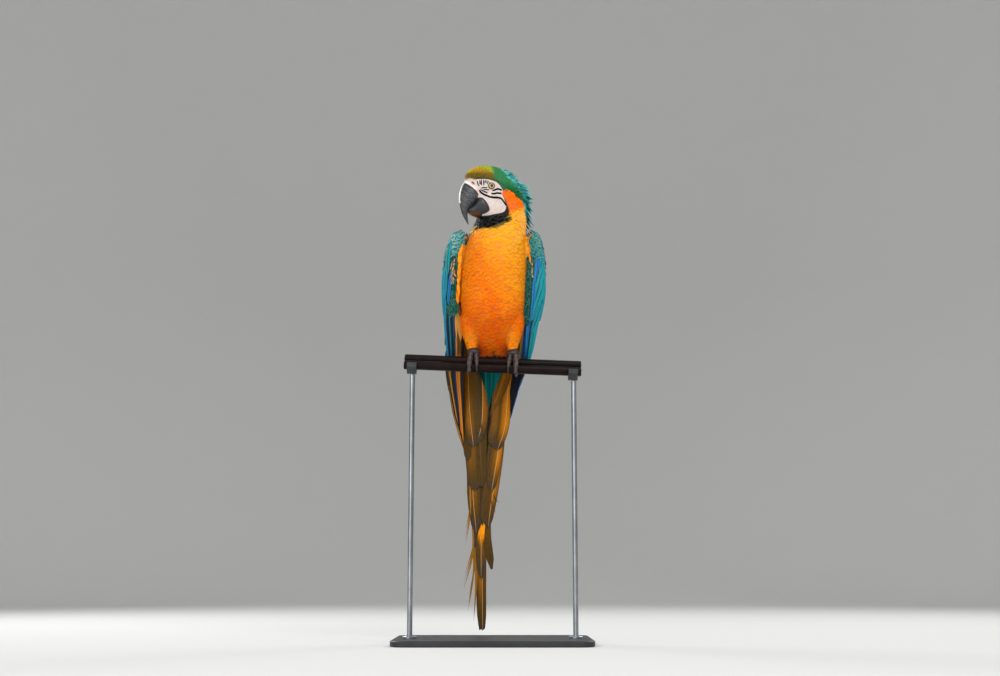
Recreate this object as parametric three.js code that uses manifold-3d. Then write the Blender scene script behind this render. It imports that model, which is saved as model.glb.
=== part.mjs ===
// A life-size blue-and-gold macaw, perched on a short length of double bar that a plain display stand
// holds up. Millimetres, +Z up. The origin is the centre of the base's underside. The bird faces -Y, and
// its left is +X.
// Inside the bird's own group the origin is the top of the perch under the breast.
import * as THREE from 'three';
import { mergeVertices } from 'three/addons/utils/BufferGeometryUtils.js';
import Module from 'manifold-3d';

const wasm = await Module();
wasm.setup();

// ---------------------------------------------------------------- driving dimensions
const GAP = 0.3; // between neighbouring pieces
const SLIVER = 0.03; // details smaller than this that a union leaves are smoothed away
const BASE = { width: 330, depth: 236, thick: 10, corner: 24, bevel: 1.5 };
const ROD = { radius: 4.5, flange: 12, flangeHeight: 4, x: 138 };
const BAR = { radius: 8, length: 304, chamfer: 1, sides: 18, tilt: 2.3 };
const BARS = { upper: [5.4, -8], lower: [-5.5, -20.1] }; // y and z of each bar's axis
const SADDLE = { length: 16, wall: 4 };
const PERCH_Y = -14; // the perch stands this far forward of the base's centre
const TAIL_CLEARANCE = 10;
const TAIL_DROP = 463; // from the perch's top to the tip of the tail
const PERCH_TOP = BASE.thick + TAIL_CLEARANCE + TAIL_DROP;

const HEAD = { eyes: [-10, -8, 304], yaw: 68 }; // midpoint between the eyes, and the turn to the bird's right
const EYE = { radius: 6.4, f: 0.7, l: 18.8, u: -8 };
const BODY_SIDES = 20;
const NECK_Z = 208; // where the neck leaves the torso
const RUMP_Z = 20; // where the rump leaves the torso and back
const BACK = { y: 50, slope: 0.096 }; // the back lies behind this plane, which leans forward as it rises
const FOOT_X = 34;
// Half a vane's thickness at its edge, and how far its shaft rises on each side.
const VANE = { edge: 0.26, ridge: 0.42, keel: 0.26 };
const SHINGLE = 1.35; // each feather of a row lies this far over the next one

// ---------------------------------------------------------------- small tools
const deg = THREE.MathUtils.degToRad;
const mix = THREE.MathUtils.lerp;
const clamp = THREE.MathUtils.clamp;
const vec = (x, y, z) => new THREE.Vector3(x, y, z);

/** A smooth function through points [[x, y], ...] in rising x. */
function curve(points) {
  const slope = points.map((_, i) => {
    const a = points[Math.max(0, i - 1)];
    const b = points[Math.min(points.length - 1, i + 1)];
    return (b[1] - a[1]) / (b[0] - a[0]);
  });
  return (x) => {
    let i = 0;
    while (i < points.length - 2 && x > points[i + 1][0]) i += 1;
    const [x0, y0] = points[i];
    const [x1, y1] = points[i + 1];
    const h = x1 - x0;
    const t = clamp((x - x0) / h, 0, 1);
    const t2 = t * t;
    const t3 = t2 * t;
    return (2 * t3 - 3 * t2 + 1) * y0 + (t3 - 2 * t2 + t) * h * slope[i]
      + (3 * t2 - 2 * t3) * y1 + (t3 - t2) * h * slope[i + 1];
  };
}

/** Smooth functions for each named column of a table whose first column is the station. */
function stations(names, rows) {
  const sorted = [...rows].sort((a, b) => a[0] - b[0]);
  const made = {};
  names.forEach((name, k) => {
    made[name] = curve(sorted.map((r) => [r[0], r[k + 1]]));
  });
  return made;
}

/** A repeatable stream of numbers from 0 to 1. */
function stream(seed) {
  let state = seed;
  return () => {
    state = (state * 1664525 + 1013904223) % 4294967296;
    return state / 4294967296;
  };
}

const spread = (from, to, count) => Array.from({ length: count }, (_, i) => mix(from, to, i / (count - 1)));
/** Angles in degrees once round, without the last one, which would close the ring. */
const turns = (count) => spread(0, 360, count + 1).slice(0, -1);

/**
 * A closed solid from rings of equal length. crossed(j) turns the diagonal of the side that starts at
 * point j.
 */
function loft(rings, crossed = () => false) {
  const n = rings[0].length;
  const points = rings.flat();
  const faces = [];
  for (let i = 0; i < rings.length - 1; i += 1) {
    for (let j = 0; j < n; j += 1) {
      const a = i * n + j;
      const b = i * n + ((j + 1) % n);
      const c = b + n;
      const d = a + n;
      if (crossed(j)) faces.push(a, b, d, b, c, d);
      else faces.push(a, b, c, a, c, d);
    }
  }
  const last = (rings.length - 1) * n;
  for (let j = 1; j < n - 1; j += 1) {
    faces.push(0, j + 1, j);
    faces.push(last, last + j, last + j + 1);
  }
  return solid(points.flatMap((p) => [p.x, p.y, p.z]), faces);
}

/** A manifold solid from flat coordinates and faces, turned outwards. */
function solid(coordinates, faces) {
  const make = (f) => new wasm.Manifold(new wasm.Mesh({
    numProp: 3,
    vertProperties: new Float32Array(coordinates),
    triVerts: new Uint32Array(f),
  }));
  let volume = 0;
  const p = (i) => vec(coordinates[3 * i], coordinates[3 * i + 1], coordinates[3 * i + 2]);
  for (let i = 0; i < faces.length; i += 3) {
    volume += p(faces[i]).dot(p(faces[i + 1]).cross(p(faces[i + 2])));
  }
  return make(volume > 0 ? faces : [...faces].reverse());
}

/** A three.js geometry as a manifold solid. */
function solidOf(geometry) {
  const bare = (geometry.index ? geometry.toNonIndexed() : geometry.clone());
  bare.deleteAttribute('normal');
  bare.deleteAttribute('uv');
  const merged = mergeVertices(bare, 1e-3);
  return solid([...merged.attributes.position.array], [...merged.index.array]);
}

/** A manifold solid as a three.js geometry. */
function geometryOf(made) {
  const mesh = made.getMesh();
  const geometry = new THREE.BufferGeometry();
  const xyz = [];
  for (let i = 0; i < mesh.numVert; i += 1) {
    xyz.push(...mesh.vertProperties.slice(i * mesh.numProp, i * mesh.numProp + 3));
  }
  geometry.setAttribute('position', new THREE.Float32BufferAttribute(xyz, 3));
  geometry.setIndex([...mesh.triVerts]);
  geometry.computeVertexNormals();
  return geometry;
}

const join = (pieces) => wasm.Manifold.union(pieces);
const less = (body, cutters) => cutters.reduce((left, cutter) => left.subtract(cutter), body);

/** The largest closed body of a solid, after the cuts have been made, without its slivers. */
function largest(made) {
  const body = made.decompose().reduce((best, piece) => (piece.volume() > best.volume() ? piece : best));
  return body.simplify(SLIVER);
}

/** What lies on the side of a plane that its normal points to. */
const beyond = (body, normal, offset) => body.trimByPlane(normal, offset);

// ---------------------------------------------------------------- the head's frame
const yaw = deg(HEAD.yaw);
const FORWARD = vec(-Math.sin(yaw), -Math.cos(yaw), 0);
const LEFTWARD = vec(Math.cos(yaw), -Math.sin(yaw), 0);
const EYES = vec(...HEAD.eyes);

/** A point f forward, l to the bird's left and u up from the midpoint between the eyes. */
const atHead = (f, l, u) => EYES.clone()
  .addScaledVector(FORWARD, f)
  .addScaledVector(LEFTWARD, l)
  .add(vec(0, 0, u));

// ---------------------------------------------------------------- surfaces that feathers grow on
/** Adds normals to a surface given by point(a, b). outward says which way is out at a point. */
function surface(point, outward) {
  const step = 0.01;
  const along = (a, b) => [
    point(a + step, b).sub(point(a - step, b)).divideScalar(2 * step),
    point(a, b + step).sub(point(a, b - step)).divideScalar(2 * step),
  ];
  const normal = (a, b) => {
    const [da, db] = along(a, b);
    const n = da.cross(db).normalize();
    return n.dot(outward(a, b)) < 0 ? n.negate() : n;
  };
  /** The change in a and b that moves a point by the vector v along the surface. */
  const moved = (a, b, v) => {
    const [da, db] = along(a, b);
    const aa = da.dot(da);
    const bb = db.dot(db);
    const ab = da.dot(db);
    const va = v.dot(da);
    const vb = v.dot(db);
    const det = aa * bb - ab * ab;
    return [(va * bb - vb * ab) / det, (vb * aa - va * ab) / det];
  };
  return { point, normal, moved };
}

/**
 * A feather's vane on a surface: its shaft runs from one place to another, lifted off by lift(t).
 * step(t) is the distance in b to the next feather of its row, and the vane dips by a shingle over it.
 */
function vane(on, {
  from, to, bend = 0, half, lift, step = null, shares = ROUND_TIP, thick = 1,
}) {
  const rings = shares.map(([t, share]) => {
    const a = mix(from[0], to[0], t);
    const b = mix(from[1], to[1], t) + bend * t * (1 - t);
    const next = t + 0.01;
    const ahead = [mix(from[0], to[0], next), mix(from[1], to[1], next) + bend * next * (1 - next)];
    const run = on.point(...ahead).sub(on.point(a, b)).normalize();
    const across = on.normal(a, b).cross(run).normalize();
    const w = half * share;
    const spot = (side) => {
      const [da, db] = on.moved(a, b, across.clone().multiplyScalar(side * w));
      return [a + da, b + db];
    };
    const put = ([pa, pb], rise) => {
      const dip = step ? (SHINGLE * (pb - b)) / step(t) : 0;
      return on.point(pa, pb).addScaledVector(on.normal(pa, pb), lift(t) - dip + rise * thick);
    };
    const [left, middle, right] = [spot(-1), [a, b], spot(1)];
    return [
      put(left, -VANE.edge), put(left, VANE.edge), put(middle, VANE.ridge),
      put(right, VANE.edge), put(right, -VANE.edge), put(middle, -VANE.keel),
    ];
  });
  return loft(rings, (j) => j === 1 || j === 4);
}

// Half widths along a vane, as shares of its widest: a round tip, a pointed one, and a long flight feather.
const ROUND_TIP = [[0, 0.5], [0.5, 1], [0.86, 0.78], [1, 0.24]];
const SCALE = [[0, 0.6], [0.72, 1], [1, 0.34]];
const POINTED = [[0, 0.8], [0.45, 0.85], [1, 0.12]];
const FLIGHT = [[0, 0.3], [0.28, 0.82], [0.62, 1], [0.9, 0.74], [1, 0.22]];
const RECTRIX = [[0, 0.4], [0.14, 0.78], [0.4, 1], [0.78, 0.95], [0.955, 0.7], [1, 0.26]];

// ---------------------------------------------------------------- the trunk: torso and neck
// Height above the perch, then the section's centre x and y, half width and half depth.
const TRUNK = stations(['x', 'y', 'w', 'd'], [
  [-8, 0, 48, 12, 6],
  [4, 0, 43, 25, 15],
  [20, 0, 33, 33, 28],
  [40, 0, 20, 43, 42],
  [70, -1, 5, 55, 57],
  [110, 0, -3, 59, 63],
  [150, 2, -7, 58.5, 64],
  [185, 4, -8, 56, 59],
  [210, 8, -5, 51.5, 51],
  [235, 13, -2, 47.5, 44],
  [255, 16, 5.5, 45, 33.5],
  [275, 19, 6.5, 41, 29.5],
  [295, 20, 7, 35, 25],
  [312, 18, 5, 26, 21],
]);

/** A point of the trunk's skin at height z; angle 0 is the front, 90 the bird's left and 180 the back. */
function trunkPoint(z, angle, grow = 0) {
  const a = deg(angle);
  return vec(
    TRUNK.x(z) + (TRUNK.w(z) + grow) * Math.sin(a),
    TRUNK.y(z) - (TRUNK.d(z) + grow) * Math.cos(a),
    z,
  );
}
const trunkSkin = surface(trunkPoint, (z, angle) => vec(Math.sin(deg(angle)), -Math.cos(deg(angle)), 0));

function trunkLoft(grow = 0) {
  const heights = [
    -8 - grow, -2, 4, 12, 20, 32, 48, 66, 88, 112, 138, 162, 184, 202, 222, 244, 264, 288, 312,
  ];
  return loft(heights.map((z) => turns(BODY_SIDES).map((angle) => trunkPoint(z, angle, grow))));
}

// ---------------------------------------------------------------- the head
// Distance forward of the eyes, then top, bottom and half width of the section.
const SKULL = stations(['top', 'bottom', 'w'], [
  [-62, -16, -50, 14],
  [-54, 4, -60, 22],
  [-44, 18, -64, 26.5],
  [-32, 27, -65, 28],
  [-20, 32, -64, 27.5],
  [-8, 34, -61, 25.5],
  [4, 34.5, -55, 23],
  [14, 33, -45, 20.5],
  [24, 29.5, -29, 17],
  [32, 25, -17, 13.8],
  [38, 19, -6, 10.5],
  [42.5, 12, 4, 5],
]);
const SQUARE = 0.87; // below 1 the head's section is squarer than an ellipse

/** A point of the head's skin f forward of the eyes; angle 0 is the crown and 90 the bird's left. */
function headPoint(f, angle, grow = 0) {
  const a = deg(angle);
  const squared = (c) => Math.sign(c) * Math.abs(c) ** SQUARE;
  const middle = (SKULL.top(f) + SKULL.bottom(f)) / 2;
  const tall = (SKULL.top(f) - SKULL.bottom(f)) / 2 + grow;
  return atHead(f, (SKULL.w(f) + grow) * squared(Math.sin(a)), middle + tall * squared(Math.cos(a)));
}
function headLoft() {
  const places = [-62, -59, -52, -42, -30, -16, -4, 6, 15, 23, 30, 36, 40, 42.5];
  return loft(places.map((f) => turns(BODY_SIDES).map((angle) => headPoint(f, angle))));
}

// ---------------------------------------------------------------- the bill
/** A ring in the head's frame between an outer and an inner point of the profile, with half width w. */
function billRing([outF, outU], [inF, inU], w, grow, sides = 12) {
  const middle = [(outF + inF) / 2, (outU + inU) / 2];
  const reach = Math.hypot(outF - inF, outU - inU) / 2;
  const share = (reach + grow) / reach;
  return turns(sides).map((angle) => {
    const a = deg(angle);
    const c = Math.cos(a) * share;
    const full = Math.sin(a) * (1 - 0.16 * Math.cos(a)); // widest nearer the cutting edge
    return atHead(
      middle[0] + (outF - middle[0]) * c,
      (w + grow) * full,
      middle[1] + (outU - middle[1]) * c,
    );
  });
}

// Outer and inner profile points, forward and up, and the half width, from the base to the hook's tip.
const UPPER_BILL = [
  [[35, 5], [11, -20], 14],
  [[42, 1], [15.5, -25.5], 15.4],
  [[47, -6.5], [19, -29], 15.2],
  [[50.5, -16], [23, -33.5], 14],
  [[52.2, -27], [28, -39], 12],
  [[51.8, -38.5], [32.6, -43.6], 9.6],
  [[49.2, -50], [36, -50], 7],
  [[45, -60.5], [37.4, -58], 4.6],
  [[40.2, -68.6], [36.6, -66], 2.5],
  [[36, -75], [35, -74.2], 0.8],
];
// Distance forward, then the top and bottom of the section and its half width.
const LOWER_BILL = [
  [2.5, -43, -54, 14.6], [6, -36, -57.5, 17], [10.5, -30, -59.8, 17.8], [16, -27.5, -60.6, 17.4],
  [21.5, -31, -60, 15.8], [27, -37.5, -58.6, 12.8], [32, -43, -56.4, 9], [36.5, -47.5, -53, 4.6],
];

const upperBill = (grow = 0) => loft(UPPER_BILL.map(([out, inner, w]) => billRing(out, inner, w, grow)));
const lowerBill = (grow = 0) => loft(LOWER_BILL.map(([f, top, bottom, w], i) => {
  const end = i === 0 ? -grow : (i === LOWER_BILL.length - 1 ? grow : 0);
  return billRing([f + end, bottom], [f + end, top], w, grow);
}));

function eyeball(side, grow = 0) {
  const ball = new THREE.SphereGeometry(EYE.radius + grow, 12, 6);
  const place = atHead(EYE.f, side * EYE.l, EYE.u);
  return solidOf(ball.translate(place.x, place.y, place.z));
}

/** The lids: a low ring of skin round the eye. */
function lids(side) {
  const ring = new THREE.TorusGeometry(EYE.radius * 0.86, 1.5, 4, 12);
  const turn = new THREE.Quaternion().setFromUnitVectors(vec(0, 0, 1), LEFTWARD.clone().multiplyScalar(side));
  const place = atHead(EYE.f, side * (EYE.l + 3.6), EYE.u);
  return solidOf(ring.applyQuaternion(turn).translate(place.x, place.y, place.z));
}

/** The bare cheek: a prism through one side of the head, outlined forward and up from the eyes. */
const CHEEK = [
  [41, 1], [28, 3.5], [13, 4.5], [1, 3], [-8, -0.5], [-14, -7], [-17, -14], [-17.2, -23],
  [-22, -32], [-24, -41], [-22.5, -48], [-18, -53.5], [-9, -57], [2, -58.5], [22, -52], [30, -22],
];
const CHEEK_DEPTH = 11; // from the head's midline to the back of the skin

function cheekPrism(side, grow = 0) {
  const middle = [4, -26];
  const outline = CHEEK.map(([f, u]) => {
    const away = Math.hypot(f - middle[0], u - middle[1]);
    return [f + ((f - middle[0]) / away) * grow, u + ((u - middle[1]) / away) * grow];
  });
  return loft([CHEEK_DEPTH - grow, 60].map((l) => outline.map(([f, u]) => atHead(f, side * l, u))));
}

function nostril(side) {
  const hole = new THREE.SphereGeometry(2.2, 8, 6);
  const place = atHead(31, side * 14.6, -3.6);
  return solidOf(hole.translate(place.x, place.y, place.z));
}

// ---------------------------------------------------------------- the folded wings
// Height, then the front edge's distance from the middle and y, the bulge's, and the rear edge's.
const WING_SHAPE = {
  right: stations(['fx', 'fy', 'mx', 'my', 'rx', 'ry'], [
    [226, 58, -13, 62, 3, 45, 16],
    [214, 72, -28, 81, 18, 27, 42],
    [195, 79, -36, 93, 30, 17, 57],
    [160, 85, -36, 99, 38, 12, 67],
    [110, 86.5, -29, 100, 46, 9, 73],
    [60, 84, -14, 98, 57, 8, 78],
    [30, 87.5, 5, 98, 63, 8, 81],
    [10, 93, 20, 99, 68, 9, 84],
    [-40, 92, 36, 93, 77, 12, 90],
    [-90, 83, 54, 81, 87, 20, 96],
    [-130, 69, 70, 65, 93, 34, 100],
    [-160, 62, 81, 56, 96, 44, 102],
  ]),
  left: stations(['fx', 'fy', 'mx', 'my', 'rx', 'ry'], [
    [226, 57, -13, 62, 3, 45, 16],
    [214, 71, -28, 82, 18, 27, 42],
    [195, 80, -36, 94, 30, 17, 57],
    [160, 87, -36, 101, 38, 12, 67],
    [110, 87, -29, 100, 46, 9, 73],
    [85, 85, -20, 97, 51, 8, 76],
    [60, 79, -9, 92, 57, 8, 78],
    [30, 72, 9, 83, 64, 8, 81],
    [10, 72.5, 22, 72, 70, 8, 84],
    [-25, 65, 41, 52, 80, 7, 90],
    [-58, 52.5, 67, 38, 91, 5, 95],
    [-98, 37, 86, 30, 102, 1, 104],
    [-140, 26.5, 94, 19, 107, -3, 109],
    [-160, 23, 97, 14, 108, -3, 111],
  ]),
};
const WING_MIDDLE = curve([[-160, 0], [60, 0], [160, 1], [195, 3], [226, 6]]);

/** The sheet that a folded wing lies on: z is the height, and v runs from its front edge to its rear edge. */
function wingSheet(side) {
  const shape = side < 0 ? WING_SHAPE.right : WING_SHAPE.left;
  const point = (z, v) => {
    const p = (1 - v) * (1 - v);
    const q = 2 * v * (1 - v);
    const r = v * v;
    return vec(
      WING_MIDDLE(z) + side * (p * shape.fx(z) + q * shape.mx(z) + r * shape.rx(z)),
      p * shape.fy(z) + q * shape.my(z) + r * shape.ry(z),
      z,
    );
  };
  return surface(point, (z, v) => vec(side * (1.2 - v), v - 0.3, 0));
}

// The arm carries the secondaries and its coverts, and the hand the primaries and theirs.
const HAND = {
  from: 0, to: 0.262, top: 224, bottom: 84, outer: -4.9,
  inner: curve([[80, -17], [130, -19], [200, -21], [226, -9]]),
};
const ARM = {
  from: 0.285, to: 0.99, top: 222, bottom: 78, outer: -4.9,
  inner: curve([[76, -10.5], [130, -14], [200, -15], [226, -9]]),
};

/** The flesh of an arm or a hand: a slab under the coverts, between two heights and two places across. */
function wingCore(sheet, part, across) {
  const heights = spread(part.bottom, part.top, 7);
  return loft(heights.map((z, i) => {
    const squeeze = i === 0 || i === heights.length - 1 ? 0.3 : 0;
    const outer = mix(part.outer, part.inner(z), squeeze);
    const inner = mix(part.inner(z), part.outer, squeeze);
    const put = (v, n) => sheet.point(z, v).addScaledVector(sheet.normal(z, v), n);
    const vs = spread(part.from, part.to, across);
    const chamfer = (k) => (k === 0 || k === across - 1 ? 0.3 : 0);
    return [
      ...vs.map((v, k) => put(v, mix(outer, inner, chamfer(k)))),
      ...[...vs].reverse().map((v, k) => put(v, mix(inner, outer, chamfer(k)))),
    ];
  }));
}

/** Lifts that start sunk in the flesh and reach their own level at t = rise. */
const layer = (sunk, level, rise) => (t) => mix(sunk, level, Math.min(1, t / rise));

const STACK = 0.96; // the primaries lie one under another by this much, the foremost deepest
const primaryLevel = curve([[0, -9.6], [0.68, -10.2], [1, -3]]);

/**
 * A row of feathers side by side on a folded wing. Each range gives the value for the first feather, at the
 * front, and for the last one: z and v of the roots and of the tips, and the lift along the vane.
 */
function row(sheet, {
  count, rootZ, rootV, tipZ, tipV, half, lift, shares, uneven, seed, stacked = false,
}) {
  const draw = stream(seed);
  const steps = [rootV, tipV].map(([a, b]) => (b - a) / (count - 1));
  return spread(0, 1, count).map((share) => vane(sheet, {
    from: [mix(...rootZ, share), mix(...rootV, share)],
    to: [mix(...tipZ, share) + (draw() - 0.5) * uneven, mix(...tipV, share)],
    step: stacked ? null : (t) => mix(...steps, t),
    lift: (t) => lift(t) - (stacked ? STACK * (1 - share) * (count - 1) : 0),
    half,
    shares,
  }));
}

const ARM_V = [0.385, 0.93];
const ARM_ROWS = [
  {
    count: 7, rootZ: [112, 128], rootV: ARM_V, tipZ: [-34, -2], tipV: ARM_V,
    half: 13, uneven: 4, seed: 3, shares: FLIGHT,
    lift: curve([[0, -6.4], [0.2, -5.2], [0.4, -4.4], [0.7, -4.8], [1, -6.4]]),
  },
  {
    count: 7, rootZ: [148, 156], rootV: ARM_V, tipZ: [56, 72], tipV: ARM_V,
    half: 13, uneven: 5, seed: 5, shares: ROUND_TIP, lift: layer(-6.8, -2, 0.5),
  },
  {
    count: 7, rootZ: [196, 196], rootV: ARM_V, tipZ: [114, 124], tipV: ARM_V,
    half: 12, uneven: 5, seed: 7, shares: ROUND_TIP, lift: layer(-6.4, 0, 0.5),
  },
];
const HAND_V = [0.07, 0.22];
const HAND_ROWS = [
  {
    count: 7, rootZ: [112, 104], rootV: [0.05, 0.2], tipZ: [-152, -84], tipV: [0.12, 0.46],
    half: 10.5, uneven: 4, seed: 13, shares: FLIGHT, lift: primaryLevel, stacked: true,
  },
  {
    count: 3, rootZ: [158, 136], rootV: HAND_V, tipZ: [30, 24], tipV: [0.06, 0.21],
    half: 9.5, uneven: 6, seed: 15, shares: FLIGHT, lift: layer(-7, -3.4, 0.25),
  },
  {
    count: 3, rootZ: [200, 196], rootV: HAND_V, tipZ: [106, 100], tipV: HAND_V,
    half: 9.5, uneven: 6, seed: 17, shares: ROUND_TIP, lift: layer(-6.6, -0.4, 0.5),
  },
];

// ---------------------------------------------------------------- the tail
const TAIL = { top: [0, 47.5, 16], slope: 6, pitch: 1.15 };
const TAIL_AXIS = curve([[-20, 0], [0, 0], [60, -6], [160, -14.5], [290, -18], [490, -17.5]]);

/**
 * The sheet that the tail's feathers lie on: s runs down it from its root and x across it. Out is the
 * belly side.
 */
const tailSheet = surface(
  (s, x) => vec(
    x + TAIL_AXIS(s),
    TAIL.top[1] + s * Math.sin(deg(TAIL.slope)) + (x * x) / 180,
    TAIL.top[2] - s * Math.cos(deg(TAIL.slope)),
  ),
  () => vec(0, -1, 0),
);

// The six pairs, outermost first: length and the places across of the tip and the root, left then right,
// the half width and the outward sweep.
const RECTRICES = [
  { left: [174, 21, 27], right: [169, -18, -36], half: 16.5, sweep: 10 },
  { left: [238, 2, 20], right: [245, -9.5, -22], half: 16, sweep: 34 },
  { left: [305, 6.5, 14], right: [316, -5.5, -14], half: 15.5, sweep: 30 },
  { left: [377, 8, 9], right: [396, -4, -9], half: 14.5, sweep: 9 },
  { left: [414, 3, 5.6], right: [352, -12, -5.6], half: 13.5, sweep: 2 },
  { left: [472, -3, 2.5], right: [481, 0, -2.5], half: 12.8, sweep: 8 },
];

function rectrix({ half, sweep }, [length, tip, root], pair, side) {
  const depth = -TAIL.pitch * (2 * pair + (side > 0 ? 0 : 1));
  return vane(tailSheet, {
    from: [22, root],
    to: [length, tip],
    bend: side * sweep,
    half,
    lift: () => depth,
    shares: RECTRIX,
  });
}
const rectrices = () => RECTRICES.flatMap((r, pair) => [
  rectrix(r, r.left, pair, 1), rectrix(r, r.right, pair, -1),
]);

/** The root that holds the tail's feathers, from the rump down to under the coverts. */
function tailRoot() {
  const middle = -5.5 * TAIL.pitch;
  const rings = [[17, 22, 8.2], [36, 21, 8.2], [60, 13, 7.2]];
  return loft(rings.map(([s, w, h]) => turns(12).map((angle) => {
    const x = w * Math.cos(deg(angle));
    return tailSheet.point(s, x).addScaledVector(tailSheet.normal(s, x), middle + h * Math.sin(deg(angle)));
  })));
}

/** Coverts over the tail's root on one face: a row of feathers at three levels, longest in the middle. */
function tailCoverts({ count, root, reach, shorter, width, half, lift, away, narrow }) {
  return spread(-1, 1, count).map((across, i) => vane(tailSheet, {
    from: [root, across * width],
    to: [reach - shorter * Math.abs(across), across * width * narrow],
    half,
    lift: (t) => lift(t) + away * (i % 3),
    shares: ROUND_TIP,
  }));
}
const UNDERTAIL = {
  count: 5, root: -2, reach: 110, shorter: 40, width: 14, half: 8, narrow: 0.5, away: 1.1,
  lift: curve([[0, 12], [0.3, 7], [1, 2.2]]),
};
const UPPERTAIL = {
  count: 5, root: -6, reach: 104, shorter: 36, width: 17, half: 9, narrow: 0.6, away: -1.1,
  lift: curve([[0, -12], [0.18, -17.8], [1, -15.6]]),
};

// ---------------------------------------------------------------- legs
/**
 * The outline that a foot grips: both bars from their end, offset by r. s runs forward from the upper
 * bar's top.
 */
function gripLine(s, r) {
  const [uy, uz] = BARS.upper;
  const [ly, lz] = BARS.lower;
  const run = Math.hypot(uy - ly, uz - lz);
  const lean = Math.atan2(uy - ly, uz - lz); // the line between the axes, from the vertical
  const reach = BAR.radius + r;
  const at = (cy, cz, angle) => ({ y: cy + reach * Math.sin(angle), z: cz + reach * Math.cos(angle), angle });
  if (s >= 0) {
    // angles are measured from straight up, and negative ones lean forward
    const first = Math.PI / 2 - lean; // where the straight stretch starts
    const arc = BAR.radius * first;
    if (s <= arc) return at(uy, uz, -s / BAR.radius);
    if (s <= arc + run) {
      const k = (s - arc) / run;
      const a = at(uy, uz, -first);
      const b = at(ly, lz, -first);
      return { y: mix(a.y, b.y, k), z: mix(a.z, b.z, k), angle: -first };
    }
    return at(ly, lz, -first - (s - arc - run) / BAR.radius);
  }
  const first = Math.PI / 2 + lean;
  const arc = BAR.radius * first;
  if (-s <= arc) return at(uy, uz, -s / BAR.radius);
  const k = (-s - arc) / run;
  const a = at(uy, uz, first);
  const b = at(ly, lz, first);
  if (k <= 1) return { y: mix(a.y, b.y, k), z: mix(a.z, b.z, k), angle: first };
  return at(ly, lz, first + (-s - arc - run) / BAR.radius);
}

const PERCH_TURN = new THREE.Matrix4().makeRotationY(deg(BAR.tilt));
const turned = (point) => point.applyMatrix4(PERCH_TURN);

/**
 * A toe or claw that follows the grip from s0 to s1 while x runs from x0 to x1. radius(t) is its half
 * thickness.
 */
function gripTube({ s0, s1, x0, x1, radius, clear, steps, sides = 8, lift = () => 0 }) {
  return loft(spread(0, 1, steps).map((t) => {
    const r = radius(t);
    const g = gripLine(mix(s0, s1, t), r + clear + lift(t));
    const out = vec(0, Math.sin(g.angle), Math.cos(g.angle));
    const x = mix(x0, x1, t);
    return turns(sides).map((angle) => turned(
      vec(x + r * Math.cos(deg(angle)), g.y, g.z).addScaledVector(out, r * Math.sin(deg(angle))),
    ));
  }));
}

// Each toe: where it ends along the grip, its side step at the root and the end, its half thickness and claw.
const TOES = [
  { name: 'outer_front', s1: 36, x0: 4.6, x1: 6, r: 4.8, claw: 10 },
  { name: 'inner_front', s1: 29, x0: -4.6, x1: -7, r: 4.4, claw: 9 },
  { name: 'outer_rear', s1: -27, x0: 5, x1: 9, r: 4.6, claw: 10 },
  { name: 'inner_rear', s1: -18, x0: -5, x1: -9, r: 4.2, claw: 9 },
];

function toe(side, { s1, x0, x1, r }) {
  const centre = side * FOOT_X;
  return gripTube({
    s0: Math.sign(s1) * -3,
    s1,
    x0: centre + side * x0,
    x1: centre + side * x1,
    radius: (t) => r * (1 - 0.2 * t) * (1 + 0.08 * Math.cos(t * 6 * Math.PI)) * (t > 0.97 ? 0.8 : 1),
    clear: GAP,
    steps: 7,
    sides: 6,
  });
}

function claw(side, { s1, x1, r, claw: reach }) {
  const centre = side * FOOT_X + side * x1;
  const way = Math.sign(s1);
  return gripTube({
    s0: s1 + way * GAP * 2,
    s1: s1 + way * reach,
    x0: centre,
    x1: centre - side * 0.6,
    radius: (t) => Math.max(0.35, r * 0.62 * (1 - 0.85 * t)),
    clear: 1,
    steps: 6,
    sides: 6,
    lift: (t) => 1.2 * (1 - t) + 1.2 * t * t,
  });
}

function footCore(side, grow = 0) {
  const x = side * FOOT_X;
  const rings = [
    [3, -1, 4, 9.5, 6], [7.2, 0, 4.8, 10.5, 10], [11.5, 1, 6, 9, 9.5],
    [16, 1, 7.5, 6.5, 6.5], [22, 1, 9.5, 5.8, 5.8], [27, 1, 11, 5.6, 5.6],
  ].map(([z, dx, y, w, d]) => turns(10).map((angle) => turned(vec(
    x + side * dx + (w + grow) * Math.cos(deg(angle)),
    y + (d + grow) * Math.sin(deg(angle)),
    z + (z < 5 ? -grow : 0),
  ))));
  return loft(rings);
}

function foot(side) {
  const bars = ['upper', 'lower'].map((name) => bar(name, GAP));
  return largest(less(join([footCore(side), ...TOES.map((t) => toe(side, t))]), bars));
}

const THIGH = stations(['x', 'y', 'w', 'd'], [
  [12.5, 36, 9, 9.5, 10],
  [22, 36.5, 9, 12, 13],
  [40, 38, 6, 17, 20],
  [62, 38, 2, 21, 27],
  [84, 36, 0, 18, 24],
  [98, 34, 0, 8, 10],
]);

function thigh(side) {
  return loft([12.5, 22, 34, 48, 62, 76, 88, 98].map((z) => turns(14).map((angle) => vec(
    side * (THIGH.x(z) - (side > 0 ? 3 : 0)) + THIGH.w(z) * Math.sin(deg(angle)),
    THIGH.y(z) - THIGH.d(z) * Math.cos(deg(angle)),
    z,
  ))));
}

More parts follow.
